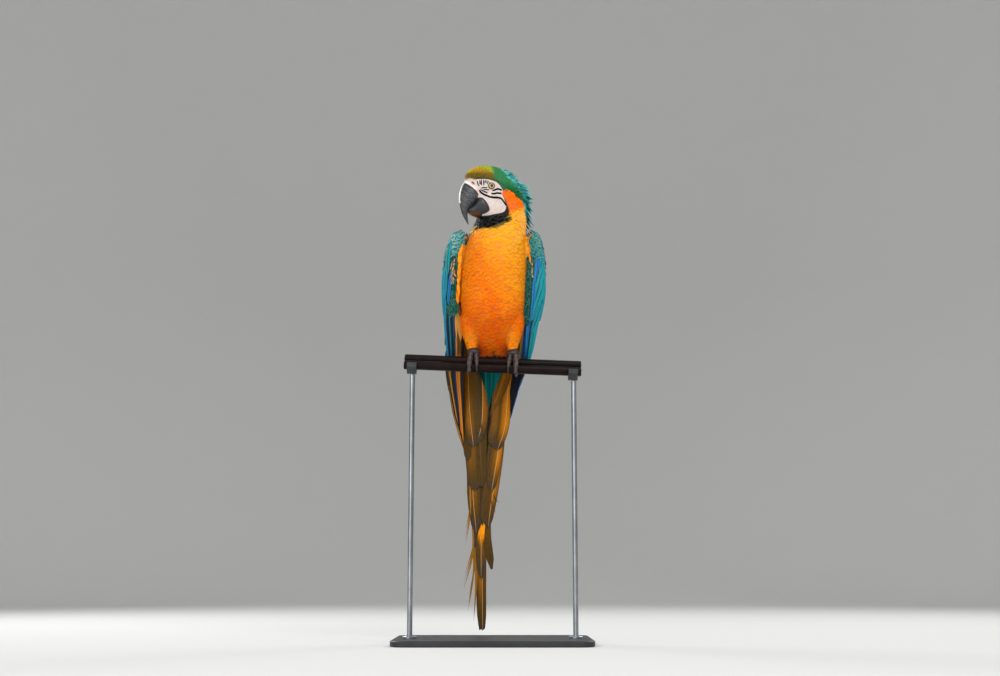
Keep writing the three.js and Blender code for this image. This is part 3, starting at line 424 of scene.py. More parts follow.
class Vanes:
    """Closed, thin feather vanes that share one pattern of rows and columns, gathered into one mesh."""

    def __init__(self, rows=6, columns=5):
        self.rows, self.columns = rows, columns
        self.points, self.vane, self.colours, self.patches = [], [], [], []
        s = np.linspace(-1, 1, columns)
        t = np.linspace(0, 1, rows)
        top = rows * columns
        grid = np.arange(top).reshape(rows, columns)
        keel = top + np.arange(rows)
        polygons = []
        for i in range(rows - 1):
            for j in range(columns - 1):
                polygons.append((grid[i, j], grid[i + 1, j], grid[i + 1, j + 1], grid[i, j + 1]))
        self.upper_faces = len(polygons)
        for i in range(rows - 1):
            polygons.append((grid[i, 0], keel[i], keel[i + 1], grid[i + 1, 0]))
            polygons.append((keel[i], grid[i, -1], grid[i + 1, -1], keel[i + 1]))
        polygons.append((*grid[0], keel[0]))
        polygons.append((*grid[-1][::-1], keel[-1]))
        self.t = np.concatenate([np.repeat(t, columns), t])
        self.s = np.concatenate([np.tile(s, rows), np.zeros(rows)])
        self.loops = np.concatenate([np.array(p) for p in polygons])
        self.sizes = np.array([len(p) for p in polygons])
        self.under = np.repeat(np.arange(len(polygons)) >= self.upper_faces, self.sizes)
        rim = list(grid[:, 0]) + list(grid[-1, 1:]) + list(grid[::-1, -1][1:]) + list(grid[0, ::-1][1:-1])
        self.sharp = np.zeros((len(self.t), len(self.t)), bool)
        for a, b in zip(rim, rim[1:] + rim[:1]):
            self.sharp[a, b] = self.sharp[b, a] = True

    def add(self, centre, normal, across, half, outline, rise, colour, root_uv, rng,
            thick=0.35, camber=0.12, jag=0.0, tilt=0.0, notch=0.0, bent=None, plain=False):
        """
        Adds vanes. centre, normal and across are (vanes, rows, 3) along each shaft; half is the widest half
        width, or a pair for the two sides of the shaft; outline(t) is the share of it; rise is (vanes, rows).
        colour is a function of t, s, which faces are undersides, and the vane's number. bent(offsets) gives
        the places and normals of points that lie offsets to the side of the shafts, for a curved sheet.
        A plain vane's shaft has no colour of its own.
        """
        n = len(centre)
        t_rows = np.linspace(0, 1, self.rows)
        s = np.linspace(-1, 1, self.columns)
        half = np.asarray(half, float)
        half = half if half.ndim == 2 else np.repeat(np.broadcast_to(half, (n,))[:, None], 2, 1)
        widest = np.where(s[None, :] < 0, half[:, :1], half[:, 1:])
        wide = widest[:, None, :] * outline(t_rows)[None, :, None]
        edge = np.abs(s) > 0.9
        rough = 1 - jag * rng.random((n, self.rows, self.columns)) * edge
        offset = wide * s * rough
        rise = np.broadcast_to(rise, (n, self.rows))
        droop = camber * np.abs(offset * s) + tilt * offset
        if bent is None:
            spots = centre[:, :, None, :] + across[:, :, None, :] * offset[..., None]
            normals = normal[:, :, None, :]
        else:
            spots, normals = bent(offset)
        if notch:
            back = np.zeros((n, self.rows, self.columns))
            back[:, -1] = notch * rng.random((n, self.columns))
            back[:, -2] = back[:, -1] * 0.4
            run = unit(np.gradient(centre, axis=1))
            spots = spots - run[:, :, None, :] * back[..., None]
        top = spots + normals * (rise[:, :, None] - droop)[..., None]
        body = thick * np.interp(t_rows, [0, 0.6, 1], [1, 0.8, 0.35])
        sag = camber * np.abs(wide).mean(2) * 0.25
        keel = centre + normal * (rise - body[None, :] - sag)[..., None]
        self.points.append(np.concatenate([top.reshape(n, -1, 3), keel], 1))
        length = np.linalg.norm(np.diff(centre, axis=1), axis=2).sum(1)
        number = rng.random(n)
        halves = np.where(self.s[None, :] < 0, half[:, :1], half[:, 1:])
        self.vane.append(np.stack([
            self.t[None, :] * length[:, None],
            self.s[None, :] * halves + (NO_SHAFT if plain else 0.0),
            np.repeat(number[:, None], len(self.t), 1),
        ], -1))
        t_loop, s_loop = self.t[self.loops], self.s[self.loops]
        self.colours.append(colour(t_loop[None, :], s_loop[None, :], self.under[None, :],
                                   np.arange(n)[:, None], number[:, None]))
        patch = np.stack([self.s * 0.5, self.t - 0.5], -1) * BAKE_PATCH
        self.patches.append(root_uv[:, None, :] + patch[None, :, :])

    def build(self, name, finish, slot, *nodes):
        """One mesh object of all the vanes, placed on the model."""
        points = np.concatenate(self.points)
        n, size = points.shape[:2]
        loops = (self.loops[None, :] + (np.arange(n) * size)[:, None]).ravel()
        sizes = np.tile(self.sizes, n)
        mesh = bpy.data.meshes.new(name)
        mesh.vertices.add(n * size)
        fill(mesh.vertices, "co", metres(points))
        mesh.loops.add(len(loops))
        fill(mesh.loops, "vertex_index", loops, np.int32)
        mesh.polygons.add(len(sizes))
        fill(mesh.polygons, "loop_start", np.concatenate([[0], np.cumsum(sizes)[:-1]]), np.int32)
        mesh.polygons.foreach_set("use_smooth", np.ones(len(sizes), bool))
        mesh.update(calc_edges=True)
        uv = mesh.uv_layers.new(name="OFBake")
        fill(uv.data, "uv", np.concatenate(self.patches).reshape(-1, 2)[loops])
        colour_layer(mesh, "CORNER", np.concatenate(self.colours).reshape(-1, 3))
        vane = mesh.attributes.new("vane", "FLOAT_VECTOR", "POINT")
        fill(vane.data, "vector", np.concatenate(self.vane).reshape(-1, 3))
        edges = read(mesh.edges, "vertices", np.int32, 2) % size
        mesh.edges.foreach_set("use_edge_sharp", self.sharp[edges[:, 0], edges[:, 1]])
        mesh.materials.append(FINISH[finish])
        return place(add_object(name, mesh), slot, *nodes)


# A vane's half width along it, as a share of its widest.
SOFT_TIP = curve([(0, 0.35), (0.25, 0.8), (0.55, 1), (0.8, 0.86), (0.94, 0.5), (1, 0.16)])
SCALE_TIP = curve([(0, 0.5), (0.4, 0.92), (0.7, 1), (0.88, 0.78), (1, 0.22)])
POINTED_TIP = curve([(0, 0.6), (0.3, 0.95), (0.6, 0.75), (0.85, 0.34), (1, 0.04)])
LANCE_TIP = curve([(0, 0.5), (0.35, 0.95), (0.6, 1), (0.82, 0.7), (0.94, 0.32), (1, 0.05)])
FLIGHT_TIP = curve([(0, 0.3), (0.28, 0.82), (0.62, 1), (0.88, 0.78), (0.96, 0.5), (1, 0.18)])
RECTRIX_TIP = curve([(0, 0.8), (0.14, 0.97), (0.4, 1), (0.78, 0.96), (0.93, 0.82), (0.975, 0.58), (1, 0.2)])
CUT_TIP = curve([(0, 0.6), (0.2, 0.95), (0.6, 1), (0.93, 0.86), (0.985, 0.72), (1, 0.6)])
WISP_TIP = curve([(0, 0.7), (0.4, 1), (0.75, 0.6), (1, 0.05)])


def along_sheet(sheet, rows, root, tip):
    """Shafts on a sheet, from root (a, b) to tip (a, b): their centres, normals and across vectors."""
    t = np.linspace(0, 1, rows)[None, :]
    root, tip = np.asarray(root, float), np.asarray(tip, float)
    a = root[:, :1] * (1 - t) + tip[:, :1] * t
    b = root[:, 1:] * (1 - t) + tip[:, 1:] * t
    centre = sheet.point(a, b)
    normal = sheet.normal(a, b)
    run = unit(np.gradient(centre, axis=1))
    across = unit(np.cross(normal, run))
    return centre, normal, across, a, b


# ---- markings
PALETTE = {name: tone(code) for name, code in {
    "gold light": "ffae22", "gold": "ff8806", "gold deep": "f26300", "orange": "fd6f02",
    "neck gold": "ff9410",
    "forehead": "c0961a", "forehead dark": "6a520c", "lime": "8db82a", "crown green": "2f7c48",
    "green shade": "1c5a34", "brow": "3a3a10", "nape": "2f9c98", "nape light": "7fc4bc", "hackle": "1b8f98",
    "hackle tip": "74d4cc", "black": "050607", "olive": "3d4712", "bare": "e2d8d2", "bare pink": "d8b0a4",
    "shoulder": "2c8480", "shoulder pale": "b4d0d0", "shoulder dark": "1a584e", "teal": "028c96",
    "teal deep": "067c92", "teal blue": "0a78a0", "sky": "0a76b8", "deep blue": "065894",
    "green dark": "16403a",
    "green pale": "4f8a76", "tan": "dc9a4c", "tan dark": "8a5a24", "web": "0a1420", "under gold": "b98228",
    "under orange": "d67c12", "brown": "6a4510", "tail olive": "473204", "tail brown": "553e1c",
    "tail gold": "c47602", "tail dark": "3c2c0c", "tail grey": "3f362c", "vent teal": "01504f",
    "vent light": "056c68", "vent dark": "011c1e", "back": "1478a4",
}.items()}


def colour_of(shade):
    """A palette colour by its name; a colour or a vector is passed on."""
    return np.asarray(PALETTE[shade] if isinstance(shade, str) else shade, float)


def outline_distance(outline, f, u):
    """The distance of points to a closed outline, negative inside it."""
    q = np.stack([f, u], -1)
    nearest = np.full(f.shape, 1e9)
    inside = np.zeros(f.shape, bool)
    for a, b in zip(outline, np.roll(outline, -1, 0)):
        edge = b - a
        k = np.clip(((q - a) @ edge) / (edge @ edge), 0, 1)
        nearest = np.minimum(nearest, np.linalg.norm(q - (a + k[..., None] * edge), axis=-1))
        rise = b[1] - a[1]
        crosses = (a[1] > u) != (b[1] > u)
        crosses &= f < (b[0] - a[0]) * (u - a[1]) / (rise if rise else 1e-12) + a[0]
        inside ^= crosses
    return np.where(inside, -nearest, nearest)


# The lines where one colour meets another: on the head as up against forward, and on the trunk as the angle
# against the height.
ORANGE_TOP = curve([(-66, -50), (-54, -31), (-43.5, -22.5), (-33.7, -15.4), (-25.1, -14.2), (-17, -15),
                    (0, -13)])
NAPE_LINE = curve([(-64, -26), (-55, -14), (-46, -6), (-36, 3), (-27, 14), (-21, 26), (-16, 46)])
GOLD_LEFT = curve([(120, 108), (190, 104), (205, 88), (215, 82), (224.6, 86), (230, 93), (235.5, 89),
                   (240.6, 82),
                   (252.9, 73), (265.3, 68), (279, 61), (305, 45)])
GOLD_RIGHT = curve([(190, 106), (215, 106), (250, 122), (285, 150), (305, 166)])
HEAD_CUT = (25.0, -72.0, 0.48)  # a plane that parts head and neck: forward, up and its rise


def above_neck(f, u):
    return ((f - HEAD_CUT[0]) * HEAD_CUT[2] + (u - HEAD_CUT[1])) / math.hypot(1, HEAD_CUT[2])


def bareness(p):
    """How bare the skin is: 1 on the cheeks and under the bill's base, 0 under feathers."""
    f, l, u = in_head(p)
    cheek = smooth(-outline_distance(CHEEK, f, u), -0.6, 0.9) * smooth(np.abs(l), 5, 9)
    cere = smooth(f, 30, 33) * smooth(-u, -6, -3) * smooth(u, -40, -30)
    near = (above_neck(f, u) > -5) & (p[:, 2] > 235)
    return np.where(near, np.maximum(cheek, cere), 0)


def breast_colour(p):
    """Yellow gold on the upper breast, deeper orange towards the belly, with painted light and shade across
    it.
    """
    x, z = p[:, 0], p[:, 2]
    gold = blend("gold light", "gold", smooth(-z, -225, -130))
    gold = blend(gold, "gold deep", smooth(-z, -140, -20))
    # a darker band slanting down from the bird's right side: partly deeper orange feathers, partly painted
    # shade away from the key light
    lane = np.exp(-((x - np.interp(z, [20, 90, 190], [6, -8, -36])) / 20) ** 2) * smooth(z, 10, 50)
    gold = blend(gold, "gold deep", 0.5 * lane * (1 - smooth(z, 195, 230)))
    # paler on the bird's left, partly painted light where the key light falls, and paler low on the flanks
    lit_and_pale = (smooth(x, 0, 32) * smooth(z, 60, 120) * 0.55
              + smooth(np.abs(x), 20, 30) * smooth(-z, -60, -30) * 0.6)
    gold = blend(gold, "gold light", np.clip(lit_and_pale, 0, 1) * 0.7)
    cloud = np.sin(x * 0.13 + 2.1 * np.sin(z * 0.05)) * np.sin(z * 0.09 + 1.3 * np.sin(x * 0.07))
    gold = blend(gold, "gold light", 0.16 * np.clip(cloud, 0, 1))
    gold = blend(gold, "gold deep", 0.16 * np.clip(-cloud, 0, 1))
    # painted shade: a dark line down the cleft at the bottom of the belly
    cleft_shade = np.exp(-((x - 1) / 3.0) ** 2) * smooth(-z, -20, -10)
    return gold * (1 - 0.75 * cleft_shade)[:, None]


def crown_colour(f, l, u):
    """The crown: golden olive at the forehead, green on top and turquoise down the nape."""
    streak = np.sin(f * 1.1 + 2.2 * np.sin(u * 0.37 + l * 0.3)) * np.sin(u * 0.9 + l * 0.8)
    gold = blend("forehead", "forehead dark", np.clip(0.22 - 0.5 * streak, 0, 1))
    gold = blend(gold, tone("dcb83a"), 0.75 * smooth(-l, -14, -3))
    lime = blend("lime", "forehead", np.clip(0.2 + 0.3 * streak, 0, 1))
    crown = blend(gold, lime, smooth(u, 21, 28) * smooth(-f, -22, -8))
    # painted shadow: dark olive on the lower forehead along the face, under the feathers above
    crown = blend(crown, tone("4a4208"), 0.8 * smooth(-u + 1.5 * streak, -21, -12) * smooth(f, -14, -4))
    crown = blend(crown, lime, np.maximum(0.8 * smooth(-f, -6, 0) * smooth(u, 14, 20),
                                          smooth(-l, -15, -5) * smooth(-f, -18, -9)))
    crown = blend(crown, "crown green", smooth(-f, 0, 7))
    low = smooth(-(u - 6 - 0.35 * f), -6, 8)
    crown = blend(crown, "green shade", smooth(-f, -2, 8) * low)
    nape = blend("nape", "nape light", np.clip(0.35 + 0.5 * streak, 0, 1))
    crown = blend(crown, nape, smooth(u - NAPE_LINE(f), -3, 3))
    brow = smooth(-outline_distance(CHEEK, f, u), -5.5, -1.5) * smooth(u, -8, -3)
    return blend(crown, "brow", 0.85 * brow)


def marking(p):
    """The plumage's colour at points of the body."""
    f, l, u = in_head(p)
    z = p[:, 2]
    angle = trunk_angle(p)
    wave = 1.6 * np.sin(z * 0.35) + 1.2 * np.sin(z * 0.83 + 1)
    back = blend("nape", "back", smooth(-z, -250, -190))
    teal = np.maximum(smooth(angle - GOLD_LEFT(z) + wave, -1.5, 1.5),
                      smooth(-angle - GOLD_RIGHT(z) + wave, -2, 2))
    body = blend(breast_colour(p), back, teal)
    body = blend(body, "vent dark", smooth(-z, -9, -5))
    orange = blend("orange", "neck gold", smooth(-u, 42, 74))
    head = blend(orange, crown_colour(f, l, u), smooth(u - ORANGE_TOP(f), -1.2, 1.2))
    throat = outline_distance(THROAT, f, u)
    below = smooth(-u, 22, 27)
    whole = blend(body, head, smooth(above_neck(f, u), -14, -4) * (np.abs(f) < 80) * (1 - teal * (u < -30)))
    whole = blend(whole, "olive", 0.9 * smooth(-throat, -4.8, -1.6) * smooth(-u, 56, 62))
    near = (above_neck(f, u) > -20) & (z > 205)
    return blend(whole, "black", np.where(near, below * smooth(-throat, -0.8, 0.6), 0))


# ---- skin
COAT_DEPTH, HEAD_COAT, THIGH_COAT = 2.2, 1.1, 1.6  # how far the skin lies inside the body's outer form
COVERT_DEPTH = 6.2  # how far it lies inside a wing's sheet
VOXEL = 0.0017  # metres


def ring_stack(point, stations_along, sides):
    angles = np.arange(sides) * 360 / sides
    return [point(a, angles) for a in stations_along]


def wing_flesh(side):
    """The flesh of a folded wing under its coverts, from the front face to the rear edge."""
    sheet = WING_SHEET[side]
    rings = []
    for z in np.linspace(80, 221, 24):
        v = np.linspace(0.06, 0.97, 14)
        zs = np.full_like(v, z)
        normal = sheet.normal(zs, v)
        thin = np.interp(z, [80, 95, 200, 221], [0.55, 1, 1, 0.5])
        deep = np.interp(v, [0, 0.2, 0.4, 1], [26, 22, 13, 10]) * thin
        outer = sheet.point(zs, v) - normal * COVERT_DEPTH
        inner = sheet.point(zs, v) - normal * (COVERT_DEPTH + deep)[:, None]
        rings.append(np.concatenate([outer, inner[::-1]]))
    return rings


def skin_mesh(material):
    """One closed skin: trunk, head, thighs and wing flesh fused."""
    parts = [
        ring_stack(lambda z, a: trunk_point(z, a, -COAT_DEPTH), np.linspace(-6, 310, 80), 64),
        ring_stack(lambda f, a: head_point(f, a, -HEAD_COAT), np.linspace(-61.5, 42.3, 64), 64),
        *[ring_stack(lambda z, a, side=side: thigh_point(side, z, a, -THIGH_COAT), np.linspace(13, 97, 28),
                     36)
          for side in (LEFT, RIGHT)],
        wing_flesh(LEFT), wing_flesh(RIGHT),
    ]
    rough = make_object("rough_skin", *joined(lofts(parts)), None)
    remesh = rough.modifiers.new("fuse", "REMESH")
    remesh.mode = "VOXEL"
    remesh.voxel_size = VOXEL
    relax = rough.modifiers.new("relax", "SMOOTH")
    relax.factor = 0.5
    relax.iterations = 5
    depsgraph = bpy.context.evaluated_depsgraph_get()
    mesh = bpy.data.meshes.new_from_object(rough.evaluated_get(depsgraph))
    bpy.data.objects.remove(rough)
    mesh.name = "skin"
    mesh.materials.clear()
    mesh.materials.append(material)
    return add_object("skin", mesh)


def points_of(mesh):
    return read(mesh.vertices, "co").astype(float) / MM - PERCH


class Ground:
    """The skin as the surface that body feathers grow on."""

    def __init__(self, mesh):
        self.points = points_of(mesh)
        self.normals = read(mesh.vertex_normals, "vector").astype(float)
        mesh.calc_loop_triangles()
        self.triangles = read(mesh.loop_triangles, "vertices", np.int32)
        self.tree = BVHTree.FromPolygons(self.points.tolist(), self.triangles.tolist())

    def drop(self, points):
        """The nearest points of the skin, and its smooth normals there."""
        where = np.empty_like(points)
        normal = np.empty_like(points)
        for i, p in enumerate(points):
            spot, _, face, _ = self.tree.find_nearest(Vector(p))
            where[i] = spot
            corners = self.triangles[face]
            gaps = np.linalg.norm(self.points[corners] - where[i], axis=1) + 1e-6
            normal[i] = (self.normals[corners] / gaps[:, None]).sum(0)
        return where, unit(normal)

    def from_side(self, side, f, u):
        """Where the skin of the head is met from its side, at places forward and up, and the normals."""
        where = np.empty((len(f), 3))
        for i, start in enumerate(at_head(f, side * 45.0 + 0 * f, u)):
            spot = self.tree.ray_cast(Vector(start), Vector(-side * LEFTWARD))[0]
            if spot is None:
                spot = self.tree.find_nearest(Vector(start - side * 30 * LEFTWARD))[0]
            where[i] = spot
        return self.drop(where)

    def scatter(self, spacing, rng, tries=9):
        """Random places on the skin, no nearer to each other than spacing(points)."""
        a, b, c = (self.points[self.triangles[:, k]] for k in range(3))
        area = np.linalg.norm(np.cross(b - a, c - a), axis=1) / 2
        centre = (a + b + c) / 3
        gap = spacing(centre)
        weight = np.where(np.isfinite(gap), area / np.where(np.isfinite(gap), gap, 1) ** 2, 0)
        total = int(weight.sum() * tries)
        pick = rng.choice(len(area), total, p=weight / weight.sum())
        r1, r2 = np.sqrt(rng.random(total)), rng.random(total)
        shares = ((1 - r1)[:, None], (r1 * (1 - r2))[:, None], (r1 * r2)[:, None])
        spots = a[pick] * shares[0] + b[pick] * shares[1] + c[pick] * shares[2]
        reach = gap[pick]
        tree = KDTree(total)
        for i, p in enumerate(spots):
            tree.insert(p, i)
        tree.balance()
        open_ = np.ones(total, bool)
        kept = []
        for i in range(total):
            if open_[i]:
                kept.append(i)
                for _, j, _ in tree.find_range(spots[i], reach[i]):
                    open_[j] = False
        return spots[kept]


BILL_BASE = at_head(38, 0, -14)


def lie(p):
    """The way the feathers lie at points of the body."""
    f, _, u = in_head(p)
    from_bill = unit(p - BILL_BASE)
    head = 0.9 * from_bill - 0.9 * FORWARD - 0.3 * UP
    body = np.stack([p[:, 0] * 0.0035, np.full(len(p), 0.04), np.full(len(p), -1.0)], -1)
    nape = -FORWARD * 0.35 - UP
    neck = blend(body, nape, smooth(p[:, 2], 225, 275) * 0.6)
    return unit(blend(neck, head, smooth(above_neck(f, u), -20, 26)))


def body_growth(ground, spots, length, rng, rows, wander=7.0):
    """Shafts that follow the skin from each spot along the lie: centres, normals and across vectors."""
    n = len(spots)
    spots, normal = ground.drop(spots)
    way = lie(spots)
    turn = np.radians(rng.normal(0, wander, n))
    side = unit(np.cross(normal, way))
    way = unit(way * np.cos(turn)[:, None] + side * np.sin(turn)[:, None])
    centre, normals = [spots], [normal]
    here, step = spots, (length / (rows - 1))[:, None]
    for _ in range(rows - 1):
        way = unit(way - np.sum(way * normal, 1, keepdims=True) * normal)
        here, normal = ground.drop(here + way * step)
        centre.append(here)
        normals.append(normal)
    centre, normals = np.stack(centre, 1), np.stack(normals, 1)
    run = unit(np.gradient(centre, axis=1))
    normals = unit(normals - np.sum(normals * run, -1, keepdims=True) * run)
    return centre, normals, unit(np.cross(normals, run))


def body_uv(p):
    """An unwrap of the body round its own axis."""
    f, l, u = in_head(p)
    z = p[:, 2]
    angle = trunk_angle(p) / 360 + 0.5
    trunk = np.stack([0.01 + angle * 0.98, 0.01 + np.clip((z + 12) / 340, 0, 1) * 0.6], -1)
    round_head = np.arctan2(l, u + 15) / (2 * math.pi) + 0.5
    head = np.stack([0.01 + round_head * 0.98, 0.64 + np.clip((f + 66) / 112, 0, 1) * 0.34], -1)
    return np.where((above_neck(f, u) > 0)[:, None], head, trunk)


def feather_colour(base, tip=None, tip_share=0.0, root_shade=0.07, shimmer=0.04):
    """Colours for body vanes: each vane's own colour, with painted shade at its root, where the vanes above
    cover it, and paler at its tip.
    """
    def colour(t, s, under, index, number):
        own = base[index[:, 0]][:, None, :]
        # painted shade towards the root
        shade = 1 - root_shade * (1 - smooth(t, 0.0, 0.6))
        shade = shade * (1 + shimmer * (number * 2 - 1))
        rgb = own * shade[..., None]
        if tip is not None:
            rgb = blend(rgb, tip[index[:, 0]][:, None, :], smooth(t, 0.6, 1.0) * tip_share)
        return rgb
    return colour


# ---- shader groups
def new_group(name, inputs, outputs):
    group = bpy.data.node_groups.new(name, "ShaderNodeTree")
    for label, kind, default in inputs:
        socket = group.interface.new_socket(name=label, in_out="INPUT", socket_type=kind)
        if default is not None:
            socket.default_value = default
    for label, kind in outputs:
        group.interface.new_socket(name=label, in_out="OUTPUT", socket_type=kind)
    return group, Wires(group)


class Wires:
    """Adds nodes to a tree and joins them."""

    def __init__(self, tree):
        self.tree = tree

    def node(self, kind, **settings):
        made = self.tree.nodes.new(kind)
        for key, value in settings.items():
            setattr(made, key, value)
        return made

    def put(self, socket, value):
        if isinstance(value, bpy.types.NodeSocket):
            self.tree.links.new(value, socket)
        elif value is not None:
            socket.default_value = value

    def math(self, operation, a, b=None, c=None, clamp=False):
        made = self.node("ShaderNodeMath", operation=operation, use_clamp=clamp)
        for socket, value in zip(made.inputs, (a, b, c)):
            self.put(socket, value)
        return made.outputs[0]

    def mix(self, share, a, b, kind="MIX"):
        made = self.node("ShaderNodeMix", data_type="RGBA", blend_type=kind)
        self.put(made.inputs[0], share)
        self.put(made.inputs[6], a)
        self.put(made.inputs[7], b)
        return made.outputs[2]

    def span(self, value, low, high, to_low=0.0, to_high=1.0):
        made = self.node("ShaderNodeMapRange", interpolation_type="SMOOTHSTEP")
        for socket, v in zip(made.inputs, (value, low, high, to_low, to_high)):
            self.put(socket, v)
        return made.outputs[0]

    def noise(self, vector, scale, detail=3.0, rough=0.5):
        made = self.node("ShaderNodeTexNoise")
        self.put(made.inputs["Vector"], vector)
        self.put(made.inputs["Scale"], scale)
        self.put(made.inputs["Detail"], detail)
        self.put(made.inputs["Roughness"], rough)
        return made.outputs["Fac"]

    def attribute(self, name):
        return self.node("ShaderNodeAttribute", attribute_name=name)

    def group(self, group, **values):
        made = self.node("ShaderNodeGroup")
        made.node_tree = group
        for key, value in values.items():
            self.put(made.inputs[key.replace("_", " ")], value)
        return made


def barbs_group():
    """Barbs that slant from a vane's shaft: how pale each is, and how high."""
    group, w = new_group(
        "Vane barbs",
        [("Spacing", "NodeSocketFloat", 0.9), ("Slant", "NodeSocketFloat", 0.9)],
        [("Tint", "NodeSocketFloat"), ("Height", "NodeSocketFloat"), ("Shaft", "NodeSocketFloat")],
    )
    given = w.node("NodeGroupInput")
    vane = w.node("ShaderNodeSeparateXYZ")
    w.put(vane.inputs[0], w.attribute("vane").outputs["Vector"])
    across = w.math("ABSOLUTE", vane.outputs[1])
    along = w.math("SUBTRACT", vane.outputs[0], w.math("MULTIPLY", across, given.outputs["Slant"]))
    place_on = w.node("ShaderNodeCombineXYZ")
    w.put(place_on.inputs[0], w.math("DIVIDE", along, given.outputs["Spacing"]))
    w.put(place_on.inputs[1], w.math("MULTIPLY", vane.outputs[1], 0.22))
    w.put(place_on.inputs[2], w.math("MULTIPLY", vane.outputs[2], 61.0))
    fine = w.noise(place_on.outputs[0], 1.0, 2.0, 0.6)
    shaft = w.span(across, 0.45, 0.95, 1.0, 0.0)
    out = w.node("NodeGroupOutput")
    w.put(out.inputs["Tint"], w.span(fine, 0.3, 0.7))
    w.put(out.inputs["Height"], w.math("ADD", fine, w.math("MULTIPLY", shaft, 0.5)))
    w.put(out.inputs["Shaft"], shaft)
    return group


def grain_group():
    """Fine speckle and broad unevenness on a finish, in object space."""
    group, w = new_group(
        "Surface grain",
        [("Fine Scale", "NodeSocketFloat", 900.0), ("Broad Scale", "NodeSocketFloat", 30.0)],
        [("Fine", "NodeSocketFloat"), ("Broad", "NodeSocketFloat")],
    )
    given = w.node("NodeGroupInput")
    spot = w.node("ShaderNodeTexCoord").outputs["Object"]
    out = w.node("NodeGroupOutput")
    w.put(out.inputs["Fine"], w.noise(spot, given.outputs["Fine Scale"], 4.0, 0.6))
    w.put(out.inputs["Broad"], w.noise(spot, given.outputs["Broad Scale"], 3.0, 0.5))
    return group


def new_material(name):
    made = bpy.data.materials.new(name)
    made.use_nodes = True
    tree = made.node_tree
    shader = tree.nodes["Principled BSDF"]
    return made, Wires(tree), shader


def set_shader(shader, **values):
    for key, value in values.items():
        shader.inputs[key.replace("_", " ")].default_value = value


def bump(w, shader, height, distance, strength=1.0):
    made = w.node("ShaderNodeBump")
    w.put(made.inputs["Height"], height)
    made.inputs["Distance"].default_value = distance
    made.inputs["Strength"].default_value = strength
    w.put(shader.inputs["Normal"], made.outputs[0])


def plumage_material(name, barbs, spacing, roughness, contrast, depth, specular, shaft=None):
    """Feather vanes: the painted markings, streaked along the barbs, with shafts of their own colour."""
    made, w, shader = new_material(name)
    fine = w.group(barbs, Spacing=spacing)
    paint = w.attribute("plumage").outputs["Color"]
    pale = w.mix(1.0, paint, (1 + contrast, 1 + contrast, 1 + contrast, 1), "MULTIPLY")
    dark = w.mix(1.0, paint, (1 - contrast, 1 - contrast, 1 - contrast, 1), "MULTIPLY")
    streaked = w.mix(fine.outputs["Tint"], dark, pale)
    if shaft is not None:
        streaked = w.mix(w.math("MULTIPLY", fine.outputs["Shaft"], 0.65), streaked, (*shaft, 1))
    w.put(shader.inputs["Base Color"], streaked)
    w.put(shader.inputs["Roughness"],
          w.span(fine.outputs["Tint"], 0.0, 1.0, roughness + 0.08, roughness - 0.08))
    set_shader(shader, Specular_IOR_Level=specular)
    bump(w, shader, fine.outputs["Height"], depth)
    return made


def skin_material(grain):
    """Bare wrinkled skin on the face, and downy skin under the feathers."""
    made, w, shader = new_material("Face skin")
    speckle = w.group(grain, Fine_Scale=1400.0, Broad_Scale=160.0)
    paint = w.attribute("plumage").outputs["Color"]
    rosy = w.mix(1.0, paint, (0.95, 0.88, 0.85, 1), "MULTIPLY")
    tint = w.mix(w.span(speckle.outputs["Broad"], 0.35, 0.7), paint, rosy)
    w.put(shader.inputs["Base Color"], tint)
    w.put(shader.inputs["Roughness"], w.span(speckle.outputs["Fine"], 0.3, 0.7, 0.62, 0.5))
    set_shader(shader, Subsurface_Weight=0.08, Subsurface_Radius=(0.002, 0.0009, 0.0006),
               Specular_IOR_Level=0.3)
    bump(w, shader, w.math("ADD", speckle.outputs["Fine"], speckle.outputs["Broad"]), 0.0003)
    return made


def horn_material(name, grain, roughness, low=None, high=None):
    """Horn with growth streaks and dusty scuffs, between two colours or painted by its own."""
    made, w, shader = new_material(name)
    marks = w.group(grain, Fine_Scale=700.0, Broad_Scale=90.0)
    if low is None:
        paint = w.attribute("plumage").outputs["Color"]
        low, high = paint, w.mix(1.0, paint, (1.3, 1.3, 1.32, 1), "MULTIPLY")
    else:
        low, high = (*low, 1), (*high, 1)
    w.put(shader.inputs["Base Color"], w.mix(w.span(marks.outputs["Broad"], 0.4, 0.75), low, high))
    w.put(shader.inputs["Roughness"],
          w.span(marks.outputs["Fine"], 0.35, 0.7, roughness - 0.08, roughness + 0.12))
    set_shader(shader, Specular_IOR_Level=0.45, Coat_Weight=0.15, Coat_Roughness=0.35)
    bump(w, shader, marks.outputs["Fine"], 0.00025, 0.7)
    return made


def painted_material(name, grain, low, high, roughness, metallic=0.0, depth=0.0002, fine=600.0, specular=0.5):
    """A painted or metal finish with unevenness at two scales."""
    made, w, shader = new_material(name)
    marks = w.group(grain, Fine_Scale=fine, Broad_Scale=24.0)
    w.put(shader.inputs["Base Color"],
          w.mix(w.span(marks.outputs["Broad"], 0.35, 0.7), (*low, 1), (*high, 1)))
    w.put(shader.inputs["Roughness"],
          w.span(marks.outputs["Fine"], 0.3, 0.7, roughness - 0.06, roughness + 0.08))
    set_shader(shader, Metallic=metallic, Specular_IOR_Level=specular)
    bump(w, shader, marks.outputs["Fine"], depth, 0.6)
    return made


def eye_material(name):
    """A wet eye, painted by its own colours."""
    made, w, shader = new_material(name)
    w.put(shader.inputs["Base Color"], w.attribute("plumage").outputs["Color"])
    set_shader(shader, Roughness=0.3, Coat_Weight=0.4, Coat_Roughness=0.05, Specular_IOR_Level=0.25)
    return made


FINISH = {}


